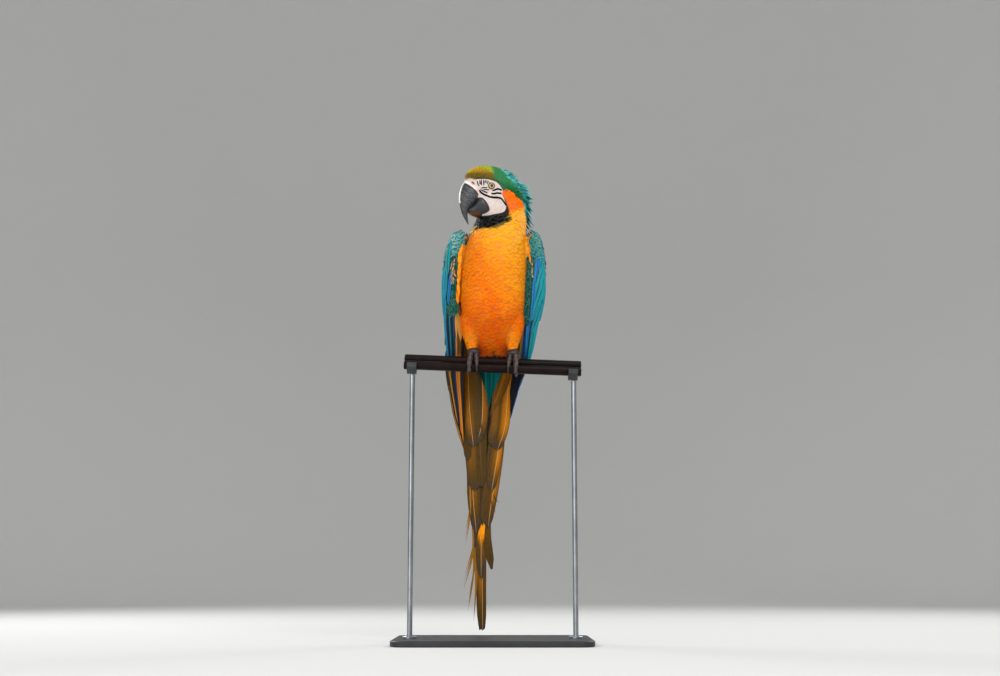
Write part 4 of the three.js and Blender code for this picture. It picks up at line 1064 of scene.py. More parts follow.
def make_finishes():
    """Builds the shared shader groups and the materials, once."""
    if FINISH:
        return
    barbs, grain = barbs_group(), grain_group()
    FINISH["down"] = plumage_material("Body feathers", barbs, 0.9, 0.75, 0.12, 0.00014, 0.06)
    FINISH["flight"] = plumage_material("Flight feathers", barbs, 0.8, 0.5, 0.14, 0.00018, 0.25,
                                        tone("0b1520"))
    FINISH["tail"] = plumage_material("Tail feathers", barbs, 0.8, 0.6, 0.2, 0.0002, 0.1, tone("d09a6a"))
    FINISH["skin"] = skin_material(grain)
    FINISH["bill"] = horn_material("Bill horn", grain, 0.42)
    FINISH["claw"] = horn_material("Claw horn", grain, 0.35, tone("0d0d0f"), tone("222226"))
    FINISH["foot"] = horn_material("Foot scales", grain, 0.6)
    FINISH["eye"] = eye_material("Eye")
    FINISH["bar"] = painted_material("Perch paint", grain, tone("0e0605"), tone("1c0f0c"), 0.36,
                                     specular=0.12)
    FINISH["stand"] = painted_material("Stand paint", grain, tone("232427"), tone("2c2e31"), 0.5, fine=1500.0)
    FINISH["steel"] = painted_material("Rod steel", grain, tone("8d9196"), tone("a2a6ab"), 0.32, 1.0, 0.00006)


# ---- skin and body coat
BODY = {}


def make_skin():
    skin = skin_mesh(FINISH["skin"])
    mesh = skin.data
    p = points_of(mesh)
    bare = bareness(p)
    mesh.polygons.foreach_set("use_smooth", np.ones(len(mesh.polygons), bool))
    rosy = blend("bare", "bare pink", smooth(in_head(p)[0], 18, 34) * 0.4)
    # the feathered skin carries the markings darkened: painted shade where it shows between the feathers
    paint_points(skin, blend(marking(p) * 0.8, rosy, bare))
    BODY["ground"] = Ground(mesh)
    flesh = ["head", "face_left", "face_right", "neck", "torso", "back", "rump", "thigh_left", "thigh_right"]
    return place(skin, "bare_skin", *flesh)


CHEEK_MIDDLE = np.array([5.0, -28.0])
CHEEK_RISE = 0.5


def make_cheek(label):
    """The bare cheek: a thin shell with a crisp outline that lies on the skin."""
    side = SIDES[label]
    rim = np.array([CHEEK[i] for i in np.linspace(0, len(CHEEK), 184, endpoint=False).astype(int)])
    shares = np.sqrt(np.linspace(0.003, 1, 26))
    spots = CHEEK_MIDDLE + (rim[None] - CHEEK_MIDDLE) * shares[:, None, None]
    f, u = spots[..., 0].ravel(), spots[..., 1].ravel()
    where, normal = BODY["ground"].from_side(side, f, u)
    wrinkle = 0.16 * np.sin(u * 2.3 + 1.5 * np.sin(f * 0.5)) * np.sin(f * 0.9 + u * 0.4)
    outer = where + normal * (CHEEK_RISE + wrinkle * smooth(-u, -60, -10))[:, None]
    outer = outer.reshape(len(shares), len(rim), 3)
    inner = (where - normal * 0.8).reshape(outer.shape)
    rings = [*outer, *inner[::-1]]
    made = loft_object(f"cheek_{label}", rings, FINISH["skin"])
    pink = 0.25 + 0.5 * smooth(f, 16, 34) + 0.2 * np.sin(f * 0.7 + u * 0.5)
    colour = blend("bare", "bare pink", np.clip(pink, 0, 1) * 0.45)
    colour = colour.reshape(outer.shape)
    paint_points(made, np.concatenate([colour, colour[::-1]]).reshape(-1, 3))
    place(made, "bare_skin")


# The rows of tiny black feathers across each bare cheek: their half width, and places forward and up.
FACE_LINES = [
    (1.5, [(21.8, -15.3), (18, -20), (13.7, -23.1), (9.2, -25), (3.2, -27.6), (-2.9, -28.1), (-9.7, -27.8),
            (-15.2, -29.1), (-19.3, -32.7), (-22.5, -37.1), (-24.6, -41)]),
    (1.4, [(0.5, -16.5), (-4.1, -15.1), (-8.7, -12.9), (-13.4, -13.4), (-16.2, -14.8)]),
    (1.35, [(1.9, -21.3), (-2.7, -21.9), (-8, -20.1), (-16, -20.5)]),
    (0.99, [(19.5, -12.5), (14.2, -11.5), (8.7, -11.3)]),
    (0.95, [(15.8, -14.6), (10.4, -14.9), (5.6, -15.2)]),
    (0.99, [(20.1, -14.8), (15.5, -17), (11.7, -18.9), (7.9, -20.2)]),
    (0.95, [(25.4, 1.2), (24.4, -3), (23.2, -6.5)]), (0.8, [(23, -5), (22, -9)]),
    (0.98, [(21, 2.2), (20.3, -5.5)]),
    (0.98, [(18.2, 2.8), (18.2, -7)]), (0.98, [(14.8, 3.4), (14.4, -2), (14.6, -7)]),
    (0.85, [(11.8, 2.4), (12.2, -3.4)]),
    (0.95, [(9.4, 2.6), (8.6, -5)]), (0.85, [(6.4, 1.2), (5, -3.5)]),
]
STEP, HAIR = 1.1, 3.4  # millimetres between face feathers, and the length of one


def make_face_lines():
    rng = np.random.default_rng(17)
    rows = 4
    vanes = Vanes(rows, 3)
    for side in SIDES.values():
        starts, halves = [], []
        for half, line in FACE_LINES:
            line = np.array(line)
            lengths = np.concatenate([[0], np.cumsum(np.linalg.norm(np.diff(line, axis=0), axis=1))])
            total = lengths[-1]
            for lane in ((-0.45, 0.45) if half > 1 else (0,)):
                for start in np.arange(0, max(total - HAIR * 0.6, 0.5), STEP) + rng.uniform(0, 0.5):
                    along = np.clip(start + HAIR * np.linspace(0, 1, rows), 0, total)
                    f, u = (np.interp(along, lengths, line[:, k]) for k in (0, 1))
                    fade = min(1.0, 0.75 + 0.15 * min(start, total - start))
                    starts.append(np.stack([f, u + lane * half + rng.normal(0, 0.1)], -1))
                    halves.append(half * 0.66 * fade if half > 1 else half * fade)
        spots = np.array(starts)
        where, normal = BODY["ground"].from_side(side, spots[..., 0].ravel(), spots[..., 1].ravel())
        centre, normal = where.reshape(-1, rows, 3), normal.reshape(-1, rows, 3)
        centre = centre + FORWARD * -0.001 * np.arange(rows)[None, :, None]
        across = unit(np.cross(normal, unit(np.gradient(centre, axis=1))))
        rise = CHEEK_RISE + np.linspace(0.12, 0.75, rows)[None, :]
        black = np.broadcast_to(colour_of("black"), (len(spots), 3))
        vanes.add(centre, normal, across, np.array(halves), SOFT_TIP, rise, feather_colour(black),
                  body_uv(centre[:, 0]),
                  rng, thick=0.25, camber=0.15)
    return vanes.build("face_feathers", "down", "green_crown")


def wing_covered(p):
    """True where the wing's own feathers cover the skin."""
    z = p[:, 2]
    x = (p[:, 0] - TRUNK["x"](z)) / TRUNK["w"](z)
    y = (p[:, 1] - TRUNK["y"](z)) / TRUNK["d"](z)
    return (z > 70) & (z < 228) & (np.hypot(x, y) > 1.05) & (np.abs(p[:, 0]) > 30)


def head_gap(p):
    """The distance between feather roots on the head, from the smallest at the face to the neck's."""
    f, _, u = in_head(p)
    return 1.9 + 1.5 * smooth(-f, -34, 10) + 1.2 * smooth(-above_neck(f, u), -30, 0)


def body_gap(p):
    f, _, u = in_head(p)
    low = 4.6 + 0.7 * smooth(-p[:, 2], -170, -60)
    thigh = smooth(np.abs(p[:, 0]), 14, 22) * smooth(-p[:, 2], -70, -50)
    low = low * (1 - thigh * 0.3)
    near_neck = 3.8 + (low - 3.8) * smooth(-p[:, 2], -250, -205)
    return np.where(above_neck(f, u) > 0, head_gap(p), near_neck)


def grow_coat(name, chosen, gap, length, half, lift, rng, outline=SOFT_TIP, wander=7.0, rows=6, columns=5,
              slot=None,
              notch=0.0, tip=None, tip_share=0.0, camber=0.05, base=None):
    """A coat of body feathers over the part of the skin where chosen(points) is true."""
    ground = BODY["ground"]
    def spacing(p):
        return np.where(chosen(p) & (bareness(p) < 0.3) & ~wing_covered(p), gap(p), np.inf)
    spots = ground.scatter(spacing, rng)
    long = length(spots) * rng.uniform(0.86, 1.14, len(spots))
    wide = half(spots) * rng.uniform(0.88, 1.12, len(spots))
    centre, normal, across = body_growth(ground, spots, long, rng, rows, wander)
    low, high = lift(spots)
    t = np.linspace(0, 1, rows)[None, :]
    rise = low[:, None] + (high * rng.uniform(0.75, 1.3, len(spots)) - low)[:, None] * t**1.2
    vanes = Vanes(rows, columns)
    base = marking(centre[:, rows // 2 + 1]) if base is None else base(spots, rng)
    tips = None if tip is None else np.broadcast_to(tip, base.shape)
    vanes.add(centre, normal, across, wide, outline, rise, feather_colour(base, tips, tip_share),
              body_uv(spots), rng,
              thick=0.25, camber=camber, jag=0.2, notch=notch)
    return vanes.build(name, "down", slot)


def on_head(p):
    f, _, u = in_head(p)
    return above_neck(f, u) > 0


def even(value):
    """The same value at every point."""
    return lambda p: np.full(len(p), value)


def make_head_coat():
    rng = np.random.default_rng(11)
    def lift(p):
        f, _, u = in_head(p)
        ruffle = smooth(-f, 8, 40) * smooth(u, -30, -6)
        return np.full(len(p), -1.2), 0.9 + 2.6 * ruffle
    grow_coat("coat_head", on_head, head_gap, lambda p: 3.3 * head_gap(p) + 1.0,
              lambda p: 0.9 * head_gap(p), lift, rng,
              rows=5, slot="green_crown", notch=1.0)


BODY_ZONES = {
    "coat_neck": ("gold_plumage", lambda p: p[:, 2] > 205),
    "coat_breast": ("gold_plumage", lambda p: (p[:, 2] <= 205) & (p[:, 2] > 110) & (p[:, 1] < 30)),
    "coat_belly": ("gold_plumage", lambda p: (p[:, 2] <= 110) & (p[:, 1] < 30)),
    "coat_back": ("turquoise_plumage", lambda p: (p[:, 2] <= 205) & (p[:, 1] >= 30)),
}


def make_body_coat():
    rng = np.random.default_rng(23)
    def lift(p):
        return np.full(len(p), -1.0), 0.45 - 0.3 * smooth(-p[:, 2], -14, 2)
    for name, (slot, inside) in BODY_ZONES.items():
        grow_coat(name, lambda p, inside=inside: ~on_head(p) & inside(p), body_gap,
                  lambda p: 3.4 * body_gap(p) + 2.5,
                  lambda p: 1.12 * body_gap(p), lift, rng, slot=slot, notch=1.6, camber=0.025)


def make_hackles():
    """Longer, pointed feathers that stand off the nape."""
    rng = np.random.default_rng(31)
    def chosen(p):
        f, l, u = in_head(p)
        angle = trunk_angle(p)
        nape = (u > ORANGE_TOP(f) + 2) & (u > NAPE_LINE(f) - 2) & (f < -20) & (l > -24)
        low = (((angle > GOLD_LEFT(p[:, 2]) + 3) | (angle < -GOLD_RIGHT(p[:, 2]) - 6))
               & (f < -30) & (p[:, 1] > -14))
        return (p[:, 2] > 247) & np.where(above_neck(f, u) > -6, nape, low)
    def lift(p):
        return np.full(len(p), -1.0), rng.uniform(6, 9, len(p)) + 4.5 * smooth(-p[:, 2], -322, -296)
    def base(p, rng):
        share = rng.random(len(p))
        deep = blend("nape", "hackle", share)
        return deep * (0.55 + 0.5 * rng.random(len(p)))[:, None]
    grow_coat("hackles", chosen, even(5.2), even(20.0), even(2.7), lift, rng,
              outline=LANCE_TIP, wander=13, slot="turquoise_plumage",
              tip=colour_of("hackle tip"), tip_share=0.75, camber=0.3, base=base)
    def tufted(p):
        angle = trunk_angle(p)
        return (angle > -76) & (angle < -58) & (p[:, 2] > 212) & (p[:, 2] < 227)
    def pale(p, rng):
        return np.broadcast_to(np.array(tone("ffd86a")), p.shape)
    grow_coat("neck_tufts", tufted, even(5.0), even(11.0), even(2.2),
              lambda p: (np.full(len(p), 0.0), np.full(len(p), 4.5)), rng,
              outline=LANCE_TIP, wander=20, slot="gold_plumage", base=pale)


# ---- wings
def bands(*pairs):
    """The colours across a vane from its outer edge, at s = 1, inwards: where each ends, and its name."""
    return [(end, colour_of(name)) for end, name in pairs]


def across_bands(stripes, s, soft=0.1):
    rgb = np.broadcast_to(stripes[0][1], (*s.shape, 3))
    for (end, _), (_, inner) in zip(stripes, stripes[1:]):
        rgb = blend(rgb, inner, smooth(-s, -end - soft, -end + soft))
    return rgb


def strip_colour(edge, middle, under, web=None, shaft=0.0, vary=0.1):
    """Colours for flight feathers and coverts: an edge, a middle, an underside and an inner web."""
    def colour(t, s, below, index, number):
        rgb = blend(middle, edge, smooth(np.abs(s), 0.55, 1.0))
        if web is not None:
            rgb = blend(rgb, web, smooth(s, 0.2, 0.55))
        if shaft:
            rgb = blend(rgb, "web", shaft * smooth(-np.abs(s), -0.12, -0.02))
        # painted shade at the root, where the row above covers it
        rgb = rgb * (1 - 0.25 * (1 - smooth(t, 0, 0.35)))[..., None]
        rgb = rgb * (1 + vary * (number * 2 - 1))[..., None]
        lower = colour_of(under) * (1 - 0.4 * smooth(t, 0.8, 1.0))[..., None]
        return np.where(below[..., None], lower, rgb)
    return colour


def ramp(low, high, by=0.5):
    return lambda t: low + (high - low) * np.minimum(1, t / by)


def across_sheet(sheet, a, b):
    """Where points beside the shafts (a, b) lie on their sheet, positive to larger b, and its normals."""
    run = unit(np.stack([np.gradient(a, axis=1), np.gradient(b, axis=1)], -1))

    def bent(offset):
        at_a = a[:, :, None] + offset * run[:, :, 1:]
        at_b = b[:, :, None] - offset * run[:, :, :1]
        return sheet.point(at_a, at_b), sheet.normal(at_a, at_b)
    return bent


def wing_uv(z, share):
    return np.stack([0.02 + 0.96 * np.clip(share, 0, 1), 0.02 + 0.96 * np.clip((z + 165) / 400, 0, 1)], -1)


def wing_row(vanes, side, count, root_z, root_v, tip_z, tip_v, half, lift, outline, colour, rng, uneven=3.0,
             stack=0.0, camber=0.08, jitter=0.0):
    """A row of feathers side by side on a folded wing, from the front one to the rear one."""
    sheet = WING_SHEET[side]
    share = np.linspace(0, 1, count) if count > 1 else np.zeros(1)
    def between(pair):
        return pair[0] + (pair[1] - pair[0]) * share
    shift = rng.normal(0, jitter, count) if jitter else 0
    root = np.stack([between(root_z), between(root_v) + shift], -1)
    tip = np.stack([between(tip_z) + (rng.random(count) - 0.5) * uneven, between(tip_v) + shift], -1)
    centre, normal, across, a, b = along_sheet(sheet, vanes.rows, root, tip)
    across = across * np.sign(np.sum(across * (sheet.point(a, b + 0.01) - sheet.point(a, b)), -1,
                                     keepdims=True))
    rise = lift(np.linspace(0, 1, vanes.rows)[None, :]) - stack * ((1 - share) * (count - 1))[:, None]
    vanes.add(centre, normal, across, half * rng.uniform(0.92, 1.08, count), outline, rise, colour,
              wing_uv(root[:, 0], root[:, 1]), rng, camber=camber, jag=0.06, tilt=0.12)


def scale_patch(vanes, side, z, b, length, half, rise, edge, middle, rng, slant=0.0, outline=SCALE_TIP,
                turn=0.12):
    """Small feathers at heights z and places b across the wrapped wing, each with its own colours."""
    n = len(z)
    lean = slant + rng.normal(0, turn, n)
    long = length * rng.uniform(0.8, 1.2, n)
    root = np.stack([z, b], -1)
    tip = np.stack([z - long * np.cos(lean), b + long * np.sin(lean)], -1)
    sheet = WRAP_SHEET[side]
    centre, normal, across, a, b_rows = along_sheet(sheet, vanes.rows, root, tip)
    lift = np.linspace(rise[0], rise[1], vanes.rows)[None, :] + rng.normal(0, 0.25, (n, 1))

    def colour(t, s, below, index, number):
        own_edge, own_middle = edge[index[:, 0]][:, None, :], middle[index[:, 0]][:, None, :]
        rim = np.maximum(smooth(np.abs(s), 0.5, 1.0), smooth(t, 0.75, 1.0))
        rgb = blend(own_middle, own_edge, rim)
        # painted shade at the root, where the feathers above cover it; the undersides are a darker copy,
        # painted shade
        rgb = rgb * (1 - 0.3 * (1 - smooth(t, 0.1, 0.5)))[..., None] * (1 + 0.2 * (number - 0.5))[..., None]
        return np.where(below[..., None], rgb * 0.6, rgb)
    vanes.add(centre, normal, across, half * rng.uniform(0.85, 1.15, n), outline, lift, colour,
              wing_uv(z, (b + 35) / 185), rng, thick=0.3, camber=0.12, jag=0.1,
              bent=across_sheet(sheet, a, b_rows))


def jittered(low, high, step, b_low, b_high, b_step, rng, scatter=0.32):
    """Places over a patch of a wing, in uneven rows."""
    z, b = np.meshgrid(np.arange(low, high, step), np.arange(b_low, b_high, b_step), indexing="ij")
    b = b + (np.arange(len(z)) % 2)[:, None] * b_step / 2
    z = z + rng.uniform(-scatter, scatter, z.shape) * step
    b = b + rng.uniform(-scatter, scatter, b.shape) * b_step
    return z.ravel(), b.ravel()


def ribbon(vanes, side, path, rise, upper, lower, change, rng, point=16.0, tilt=0.1):
    """A long vane down a wing's front face through (height, outer x, inner x), its colours changing once."""
    top, bottom = path[0][0], path[-1][0]
    t = np.linspace(0, 1, vanes.rows)
    z = top + (bottom - top) * t
    outer, inner = (curve([(row[0], row[k]) for row in path])(z) for k in (1, 2))
    b = face_place(side, z, (outer + inner) / 2)
    wide = (outer - inner) / 2 / FACE_IN
    outline = curve(list(zip(t, wide / wide.max() * np.minimum(1, (1.001 - t) * point) ** 0.6)))
    a, b = z[None, :], b[None, :]
    sheet = WRAP_SHEET[side]
    centre, normal = sheet.point(a, b), sheet.normal(a, b)
    across = unit(sheet.point(a, b + 0.01) - sheet.point(a, b))

    def colour(t_at, s, below, index, number):
        height = top + (bottom - top) * t_at
        rgb = blend(across_bands(upper, s), across_bands(lower, s), smooth(-height, -change - 9, -change + 9))
        rgb = rgb * (1 - 0.35 * smooth(t_at, 0.93, 1.0))[..., None]
        # the underside is a darker copy: painted shade
        return np.where(below[..., None], rgb * 0.5, rgb)
    rise = (rise - 4.5 * smooth(z, 68, 92))[None, :]
    vanes.add(centre, normal, across, wide.max(), outline, rise, colour,
              wing_uv(z[:1], np.array([0.1])), rng, thick=0.5, camber=0.06, tilt=tilt,
              bent=across_sheet(sheet, a, b))


# Long vanes down each wing's front face: how far they stand off it, their path as (height, outer x, inner x),
# the colours across them above and below a height, and that height.
FACE_VANES = {
    RIGHT: [
        (0.2, [(95, 58, 50), (22, 55.5, 50.5), (-26, 58, 51.5), (-80, 55.3, 52), (-112, 53.5, 51.5)],
         ((-1, "web"),), ((-1, "web"),), 0),
        (0.7, [(88, 68, 55), (45, 67.5, 54.5), (22, 67, 54.6), (-26, 66.5, 57), (-80, 61, 54.8),
               (-132, 56.6, 52),
               (-149, 54.4, 52)],
         ((0.3, "tan"), (-0.85, "brown"), (-1, "web")),
         ((0.85, "web"), (-0.8, "under orange"), (-1, "web")), 5),
        (1.2, [(105, 75, 67), (60, 72.5, 65.5), (22, 69.8, 65.2), (-26, 68.6, 65), (-80, 63, 60.2),
               (-120, 59, 57)],
         ((-0.3, "deep blue"), (-1, "web")), ((-0.5, "deep blue"), (-1, "web")), 0),
        (1.7, [(108, 80, 71), (60, 78.5, 70), (22, 76, 68.4), (-26, 74.5, 67.5), (-80, 67, 61.5),
               (-126, 59.5, 56.5)],
         ((-0.15, "teal deep"), (-1, "web")), ((-1, "web"),), 0),
        (2.2, [(112, 88, 77.5), (60, 85.6, 76.5), (22, 82.4, 74.8), (-10, 81, 73.8), (-26, 80.9, 73.6),
               (-80, 74.4, 66),
               (-132, 61, 57), (-150, 54.4, 52.4)],
         ((0.0, "teal blue"), (-1, "web")), ((0.62, "web"), (-0.85, "under gold"), (-1, "web")), -8),
    ],
    LEFT: [
        (0.2, [(92, 57, 49), (60, 56, 49.5), (30, 52.5, 46.5), (10, 50.5, 45), (-20, 47.5, 42),
               (-60, 38.5, 35)],
         ((0.0, "tan"), (-1, "tan dark")), ((0.3, "web"), (-0.7, "under gold"), (-1, "web")), 34),
        (0.8, [(100, 67, 57), (60, 59, 53.5), (30, 57.5, 51), (10, 55.6, 49.5), (-20, 50.5, 43.5),
               (-50, 42.6, 38),
               (-74, 37.5, 35.5)],
         ((0.2, "sky"), (-0.5, "web"), (-1, "deep blue")), ((-1, "web"),), -8),
        (1.4, [(110, 78, 65), (60, 67.5, 56.5), (30, 63.5, 55.5), (10, 61, 54), (-26, 54.8, 46),
               (-60, 42.6, 37.5),
               (-92, 33.5, 31.5)],
         ((0.55, "sky"), (0.35, "web"), (-0.6, "sky"), (-1, "web")), ((0.75, "deep blue"), (-1, "web")), -8),
        (2.0, [(110, 88, 75), (60, 80, 66), (30, 74, 62), (10, 69.4, 59.6), (-12, 65, 56.5), (-40, 49.5, 44),
               (-70, 39.6, 36.5), (-98, 32.4, 31)],
         ((-0.55, "teal"), (-1, "web")), ((0.3, "deep blue"), (-1, "web")), -14),
    ],
}


def make_front(label, side, rng):
    """What shows down a folded wing's front face, from the flight feathers' edges to the small coverts."""
    lining = Vanes(26, 9)
    for rise, path, upper, lower, change in FACE_VANES[side]:
        ribbon(lining, side, path, rise, bands(*upper), bands(*lower), change, rng)
    lining.build(f"wing_{label}_lining", "flight", "gold_plumage")
    edge = Vanes(6, 5)
    right = side == RIGHT

    def patch(z_range, x_range, step, size, rise, edges, middles, slant=0.0, outline=SCALE_TIP, turn=0.12):
        """Feathers between heights and distances from the middle, of (length, half width)."""
        tall = np.arange(*z_range, step[0])
        outer, inner = (np.interp(tall, [p[0] for p in line], [p[1] for p in line]) for line in x_range)
        for k, z in enumerate(tall):
            x = np.arange(inner[k], outer[k], step[1]) + rng.uniform(0, 0.5) * step[1]
            b = face_place(side, z, x) + rng.normal(0, 0.4, len(x))
            zs = z + rng.uniform(-0.4, 0.4, len(x)) * step[0]
            share = rng.random(len(x))
            scale_patch(edge, side, zs, b, size[0], size[1], rise, blend(*edges, share),
                        blend(*middles, rng.random(len(x))), rng, slant, outline, turn)
    # mottled lining coverts on the inner half
    mottled = ([(80, 76), (120, 76), (165, 73), (200, 76)],
               [(80, 63), (110, 62), (165, 58.5), (200, 56)]) if right \
        else ([(60, 62), (110, 66), (170, 67.5), (200, 72)], [(60, 54), (110, 57), (170, 58.5), (200, 62)])
    patch((80 if right else 66, 176), mottled, (4.6, 4.2), (11, 3.2), (0.9, 2.6),
          ("green pale", "green dark"),
          ("green dark", "shoulder dark"))
    # buff ruffles and the orange fringe beside the breast
    amber = ([(100, 61.6), (170, 57.2), (216, 54)], [(100, 61), (170, 56.6), (216, 53.4)]) if right \
        else ([(170, 61.5), (190, 60.5)], [(170, 61), (190, 60)])
    patch((112 if right else 176, 197 if right else 184), amber, (5.0, 4.5), (19, 2.3 if right else 1.2),
          (2.6, 3.6),
          ("gold deep", "gold"), ("gold", "gold light"), outline=LANCE_TIP, turn=0.07)
    ruffles = ([(124, 75), (170, 69)], [(124, 70), (170, 66)]) if right \
        else ([(130, 68), (170, 67)], [(130, 66.5), (170, 65.5)])
    patch((128 if right else 142, 170 if right else 168), ruffles, (6.5, 3.4), (8, 1.1), (2.6, 3.8),
          ("tan", "shoulder pale"), ("tan", "tan dark"), outline=LANCE_TIP, turn=0.25)
    if right:
        buff = [(78, 64.5), (74, 60.8), (70, 57.4)]
        z, x = np.array([float(row[0]) for row in buff]), np.array([row[1] for row in buff])
        b = face_place(side, z, x)
        scale_patch(edge, side, z, b, 42, 2.6, (1.6, 3.0), blend("tan", "gold", np.zeros(3)),
                    blend("tan", "tan dark", np.full(3, 0.3)), rng, 0.0, LANCE_TIP, 0.02)
    # long coverts over the outer half
    long = Vanes(12, 7)
    specs = {
        RIGHT: [  # root z and x, tip z and x, half, rise, edge, middle
            (170, 68.5, 88, 77.5, 3.0, 3.0, "sky", "sky"), (172, 72, 104, 79.5, 1.9, 2.6, "web", "web"),
            (204, 74, 138, 79.5, 4.4, 2.9, "shoulder", "teal"),
            (170, 80, 98, 83, 4.6, 2.8, "teal", "teal deep"),
            (176, 86, 70, 85.5, 4.6, 2.4, "teal", "teal deep"),
            (140, 84, 60, 82.5, 4.2, 2.2, "teal", "teal deep"),
        ],
        LEFT: [
            (150, 70.5, 68, 66.5, 4.2, 3.9, "teal blue", "sky"), (184, 73, 96, 70, 6.0, 2.4, "sky", "sky"),
            (178, 80, 96, 77, 5.2, 2.5, "teal", "teal blue"),
            (176, 88, 82, 66.5, 7.0, 3.0, "teal", "teal"), (150, 91, 63, 66.5, 6.4, 3.6, "teal", "teal"),
            (122, 91, 41, 67, 6.0, 3.4, "teal", "teal deep"), (150, 95, 62, 80, 6.0, 2.6, "teal", "teal"),
        ],
    }[side]
    for z0, x0, z1, x1, half, rise, edge_name, middle_name in specs:
        root, tip = (np.array([[z, float(face_place(side, z, x))]]) for z, x in ((z0, x0), (z1, x1)))
        centre, normal, across, a, b = along_sheet(WRAP_SHEET[side], 12, root, tip)
        stripes = bands((0.3, edge_name), (-0.78, middle_name), (-1, "web"))

        def colour(t, s, below, index, number, stripes=stripes):
            # painted shade at the root, under the feathers above; the underside is a darker copy, painted
            # shade
            rgb = across_bands(stripes, s) * (1 - 0.25 * (1 - smooth(t, 0, 0.4)))[..., None]
            return np.where(below[..., None], rgb * 0.5, rgb)
        long.add(centre, normal, across, half, FLIGHT_TIP,
                 ramp(-0.5, rise, 0.4)(np.linspace(0, 1, 12))[None, :], colour,
                 wing_uv(root[:, 0], np.array([0.15])), rng, camber=0.1, jag=0.04, tilt=0.08,
                 bent=across_sheet(WRAP_SHEET[side], a, b))
    long.build(f"wing_{label}_front_coverts", "flight", "blue_plumage")
    return edge


def make_wing(label):
    side = SIDES[label]
    rng = np.random.default_rng(41 if side == LEFT else 43)
    arm, hand = Vanes(14, 7), Vanes(16, 7)
    teal = strip_colour("teal", "teal deep", colour_of("under gold") * 0.5, shaft=0.5)
    blue = strip_colour("sky", "deep blue", "web", web="web", shaft=0.6)
    web = blend("deep blue", "web", 0.5)
    mid = strip_colour("teal", "deep blue", colour_of("under gold") * 0.5, web=web, shaft=0.6)
    # flight feathers
    wing_row(hand, side, 10, (112, 104), (0.07, 0.22), (-148, -84), (0.17, 0.46), 9.0,
             lambda t: np.interp(t, [0, 0.45, 0.7, 1], [-9.4, -12.5, -14.5, -8.0]), FLIGHT_TIP, blue, rng,
             stack=0.5)
    wing_row(arm, side, 11, (112, 128), (0.3, 0.95), (-60, -6), (0.36, 0.95), 11,
             lambda t: np.interp(t, [0, 0.4, 1], [-6.4, -5.2, -5.6]), FLIGHT_TIP, mid, rng, stack=0.5)
    # coverts
    slant = 0.16 if side == LEFT else 0.06
    wing_row(hand, side, 6, (158, 140), (0.08, 0.24), (38, 26), (0.08, 0.22), 8.0, ramp(-7.0, -4.4, 0.3),
             FLIGHT_TIP,
             blue, rng)
    wing_row(arm, side, 12, (150, 156), (0.28 + slant, 0.95), (52, 70), (0.16, 0.93), 10, ramp(-6.0, -2.6),
             FLIGHT_TIP,
             teal, rng, uneven=8, jitter=0.01)
    wing_row(arm, side, 13, (178, 176), (0.18 + slant, 0.95), (88, 112), (0.1, 0.94), 9.5, ramp(-5.6, -1.6),
             SOFT_TIP,
             teal, rng, uneven=9, jitter=0.01)
    arm.build(f"wing_{label}_arm_feathers", "flight", "turquoise_plumage", f"wing_{label}_arm")
    hand.build(f"wing_{label}_primaries", "flight", "blue_plumage", f"wing_{label}_hand")
    edge = make_front(label, side, rng)
    # small coverts over the shoulder
    scales = Vanes(6, 5)
    z, b = jittered(140, 224, 6.4, -4, 144, 7.6, rng)
    front_z, front_b = jittered(178, 225, 5.0, -33 if side == RIGHT else -37, -3, 5.0, rng)
    z, b = np.concatenate([z, front_z]), np.concatenate([b, front_b])
    inner = (FRONT_EDGE[side]["x"](z) + FACE_IN * b
             > (50.5 + 4 * smooth(z, 210, 220) if side == RIGHT else 57.0) + 5 * smooth(-z, -206, -196))
    keep = inner & ((b > 22) | (z > 172))
    z, b = z[keep], b[keep]
    low = smooth(-z, -205, -165)
    # painted light: the right shoulder pales with a sheen towards its outer side, where the light falls; the
    # left one stays darker, in shade
    outer = smooth(b, -30, -6) if side == RIGHT else 0.35 * smooth(b, -16, 2)
    middle = blend(blend("shoulder dark", "shoulder", 0.25 + 0.5 * outer + 0.2 * rng.random(len(z))),
                   "teal deep", 0.75 * low * smooth(b, -12, 4))
    rim = blend(blend("shoulder", "shoulder pale", 0.15 + 0.75 * outer * (1 - 0.5 * low)),
                "teal", 0.5 * low)
    scale_patch(scales, side, z, b, 15, 4.4, (-1.6, 1.5), rim, middle, rng)
    scales.build(f"wing_{label}_lesser_coverts", "down", "turquoise_plumage")
    edge.build(f"wing_{label}_front_feathers", "down", "turquoise_plumage")


# ---- tail
def tail_local(x, z):
    """The tail sheet's own coordinates for places seen from the front."""
    s = (TAIL_TOP[2] - np.asarray(z, float)) / math.cos(TAIL_SLOPE)
    return s, np.asarray(x, float) - TAIL_AXIS(s)


